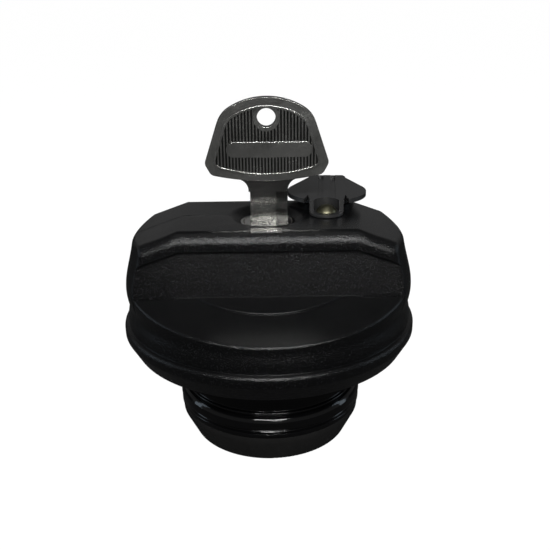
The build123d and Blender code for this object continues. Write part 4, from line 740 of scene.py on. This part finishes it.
def add_world():
    """White for the camera; dim as a light, brightest near the horizon in metal."""
    world = bpy.data.worlds.new("studio")
    bpy.context.scene.world = world
    world.use_nodes = True
    tree = world.node_tree
    background = tree.nodes["Background"]
    background.inputs["Color"].default_value = (1, 1, 1, 1)
    path = tree.nodes.new("ShaderNodeLightPath")
    place = tree.nodes.new("ShaderNodeTexCoord")
    split = tree.nodes.new("ShaderNodeSeparateXYZ")
    link(tree, place.outputs["Generated"], split.inputs[0])
    horizon = ramp(tree, split.outputs["Z"], SHINE_FROM, SHINE_TO)
    card = math_node(tree, "MULTIPLY", horizon, SHINE_HIGH - SHINE_LOW)
    card = math_node(tree, "ADD", card, SHINE_LOW)
    shine = math_node(tree, "MULTIPLY", path.outputs["Is Glossy Ray"], card)
    seen = math_node(tree, "MAXIMUM", path.outputs["Is Camera Ray"],
                     path.outputs["Is Transmission Ray"])
    seen = math_node(tree, "MAXIMUM", seen, shine)
    link(tree, math_node(tree, "MAXIMUM", seen, WORLD_LIGHT),
         background.inputs["Strength"])


# ------------------------------------------------------------------ operators
COVER_EDGE_SHARE = 0.7      # of the rounding that other moulded edges have
ROTOR_EDGE_SHARE = 0.6      # of the rounding that other metal edges have
RIVET_EDGE = 0.0001
SHELL_SMOOTH_ANGLE = 30.0
SEAL_SMOOTH_ANGLE = 15.0

HIDDEN_FINISHES = {
    "brass": ("wafer_1", "wafer_2", "wafer_3", "wafer_4", "wafer_5"),
    "steel": ("wafer_spring_1", "wafer_spring_2", "wafer_spring_3",
              "wafer_spring_4", "wafer_spring_5", "rotor_clip", "cam_screw",
              "housing_screws", "guide_screws", "valve_screws", "retaining_ring",
              "pressure_spring", "vacuum_spring"),
    "zinc": ("drive_cam", "locking_bolt", "coupling_ring"),
    "acetal": ("bolt_guide", "valve_cage", "pressure_valve", "vacuum_valve"),
    "rubber": ("pressure_pad",),
}


class FILLERCAP_OT_stage(bpy.types.Operator):
    """Adds the pale floor, the soft lamps and the camera"""

    bl_idname = "fillercap.stage"
    bl_label = "Stage"

    def execute(self, context):
        context.scene.view_settings.view_transform = "Standard"
        add_floor()
        add_lamps()
        add_world()
        add_camera()
        return {"FINISHED"}


class FILLERCAP_OT_shell(bpy.types.Operator):
    """Dresses the shell with a rounded rim and grained black plastic"""

    bl_idname = "fillercap.shell"
    bl_label = "Cap shell"

    def execute(self, context):
        dress("cap_shell", "shell_skin", "shell", angle=SHELL_SMOOTH_ANGLE,
              form=round_rim)
        return {"FINISHED"}


class FILLERCAP_OT_cover(bpy.types.Operator):
    """Dresses the dust cover and its rivet"""

    bl_idname = "fillercap.cover"
    bl_label = "Dust cover"

    def execute(self, context):
        edge = context.scene.filler_sizes.edge
        dress("dust_cover", "cover_skin", "cover", edge * COVER_EDGE_SHARE)
        dress("cover_rivet", "rivet_skin", "rivet", RIVET_EDGE)
        return {"FINISHED"}


class FILLERCAP_OT_lock(bpy.types.Operator):
    """Dresses the lock housing and the rotor"""

    bl_idname = "fillercap.lock"
    bl_label = "Lock"

    def execute(self, context):
        edge = context.scene.filler_sizes.metal_edge
        dress("lock_housing", "housing_skin", "chrome", edge)
        dress("lock_rotor", "rotor_skin", "chrome", edge * ROTOR_EDGE_SHARE)
        return {"FINISHED"}


class FILLERCAP_OT_key(bpy.types.Operator):
    """Dresses the key"""

    bl_idname = "fillercap.key"
    bl_label = "Key"

    def execute(self, context):
        dress("key", "key_skin", "key")
        return {"FINISHED"}


class FILLERCAP_OT_plug(bpy.types.Operator):
    """Dresses the inner closure, the seal, the gasket and the cup"""

    bl_idname = "fillercap.plug"
    bl_label = "Plug"

    def execute(self, context):
        edge = context.scene.filler_sizes.edge
        dress("inner_closure", "closure_skin", "closure", edge)
        dress("seal_ring", "seal_skin", "rubber", edge, SEAL_SMOOTH_ANGLE)
        dress("neck_gasket", "gasket_skin", "rubber", edge)
        dress("bottom_cup", "cup_skin", "cup", edge)
        return {"FINISHED"}


class FILLERCAP_OT_mechanism(bpy.types.Operator):
    """Gives the hidden pieces of the lock, the clutch and the valves their finishes"""

    bl_idname = "fillercap.mechanism"
    bl_label = "Mechanism"

    def execute(self, context):
        for material, nodes in HIDDEN_FINISHES.items():
            for node in nodes:
                paint(NODES[node], material)
        return {"FINISHED"}


class FILLERCAP_PT_panel(bpy.types.Panel):
    """Lists the steps that build the looks of the cap"""

    bl_idname = "FILLERCAP_PT_panel"
    bl_label = "Filler cap"
    bl_space_type = "VIEW_3D"
    bl_region_type = "UI"
    bl_category = "Filler cap"

    def draw(self, context):
        for operator in OPERATORS:
            self.layout.operator(operator.bl_idname)
        self.layout.prop(context.scene.filler_sizes, "grain")
        self.layout.prop(context.scene.filler_sizes, "edge")
        self.layout.prop(context.scene.filler_colours, "plastic")


OPERATORS = (
    FILLERCAP_OT_stage,
    FILLERCAP_OT_shell,
    FILLERCAP_OT_cover,
    FILLERCAP_OT_lock,
    FILLERCAP_OT_key,
    FILLERCAP_OT_plug,
    FILLERCAP_OT_mechanism,
)
CLASSES = (FillerCapColours, FillerCapSizes) + OPERATORS + (FILLERCAP_PT_panel,)


def register():
    """Registers the add-on's classes and its settings."""
    for item in CLASSES:
        bpy.utils.register_class(item)
    bpy.types.Scene.filler_colours = bpy.props.PointerProperty(type=FillerCapColours)
    bpy.types.Scene.filler_sizes = bpy.props.PointerProperty(type=FillerCapSizes)


def unregister():
    """Takes the add-on's settings and classes away again."""
    del bpy.types.Scene.filler_sizes
    del bpy.types.Scene.filler_colours
    for item in reversed(CLASSES):
        bpy.utils.unregister_class(item)


def main():
    """Builds the stage and the finished pieces."""
    register()
    build_materials()
    bpy.ops.fillercap.stage()
    bpy.ops.fillercap.shell()
    bpy.ops.fillercap.cover()
    bpy.ops.fillercap.lock()
    bpy.ops.fillercap.key()
    bpy.ops.fillercap.plug()
    bpy.ops.fillercap.mechanism()
    bpy.context.view_layer.update()


if __name__ == "__main__":
    main()
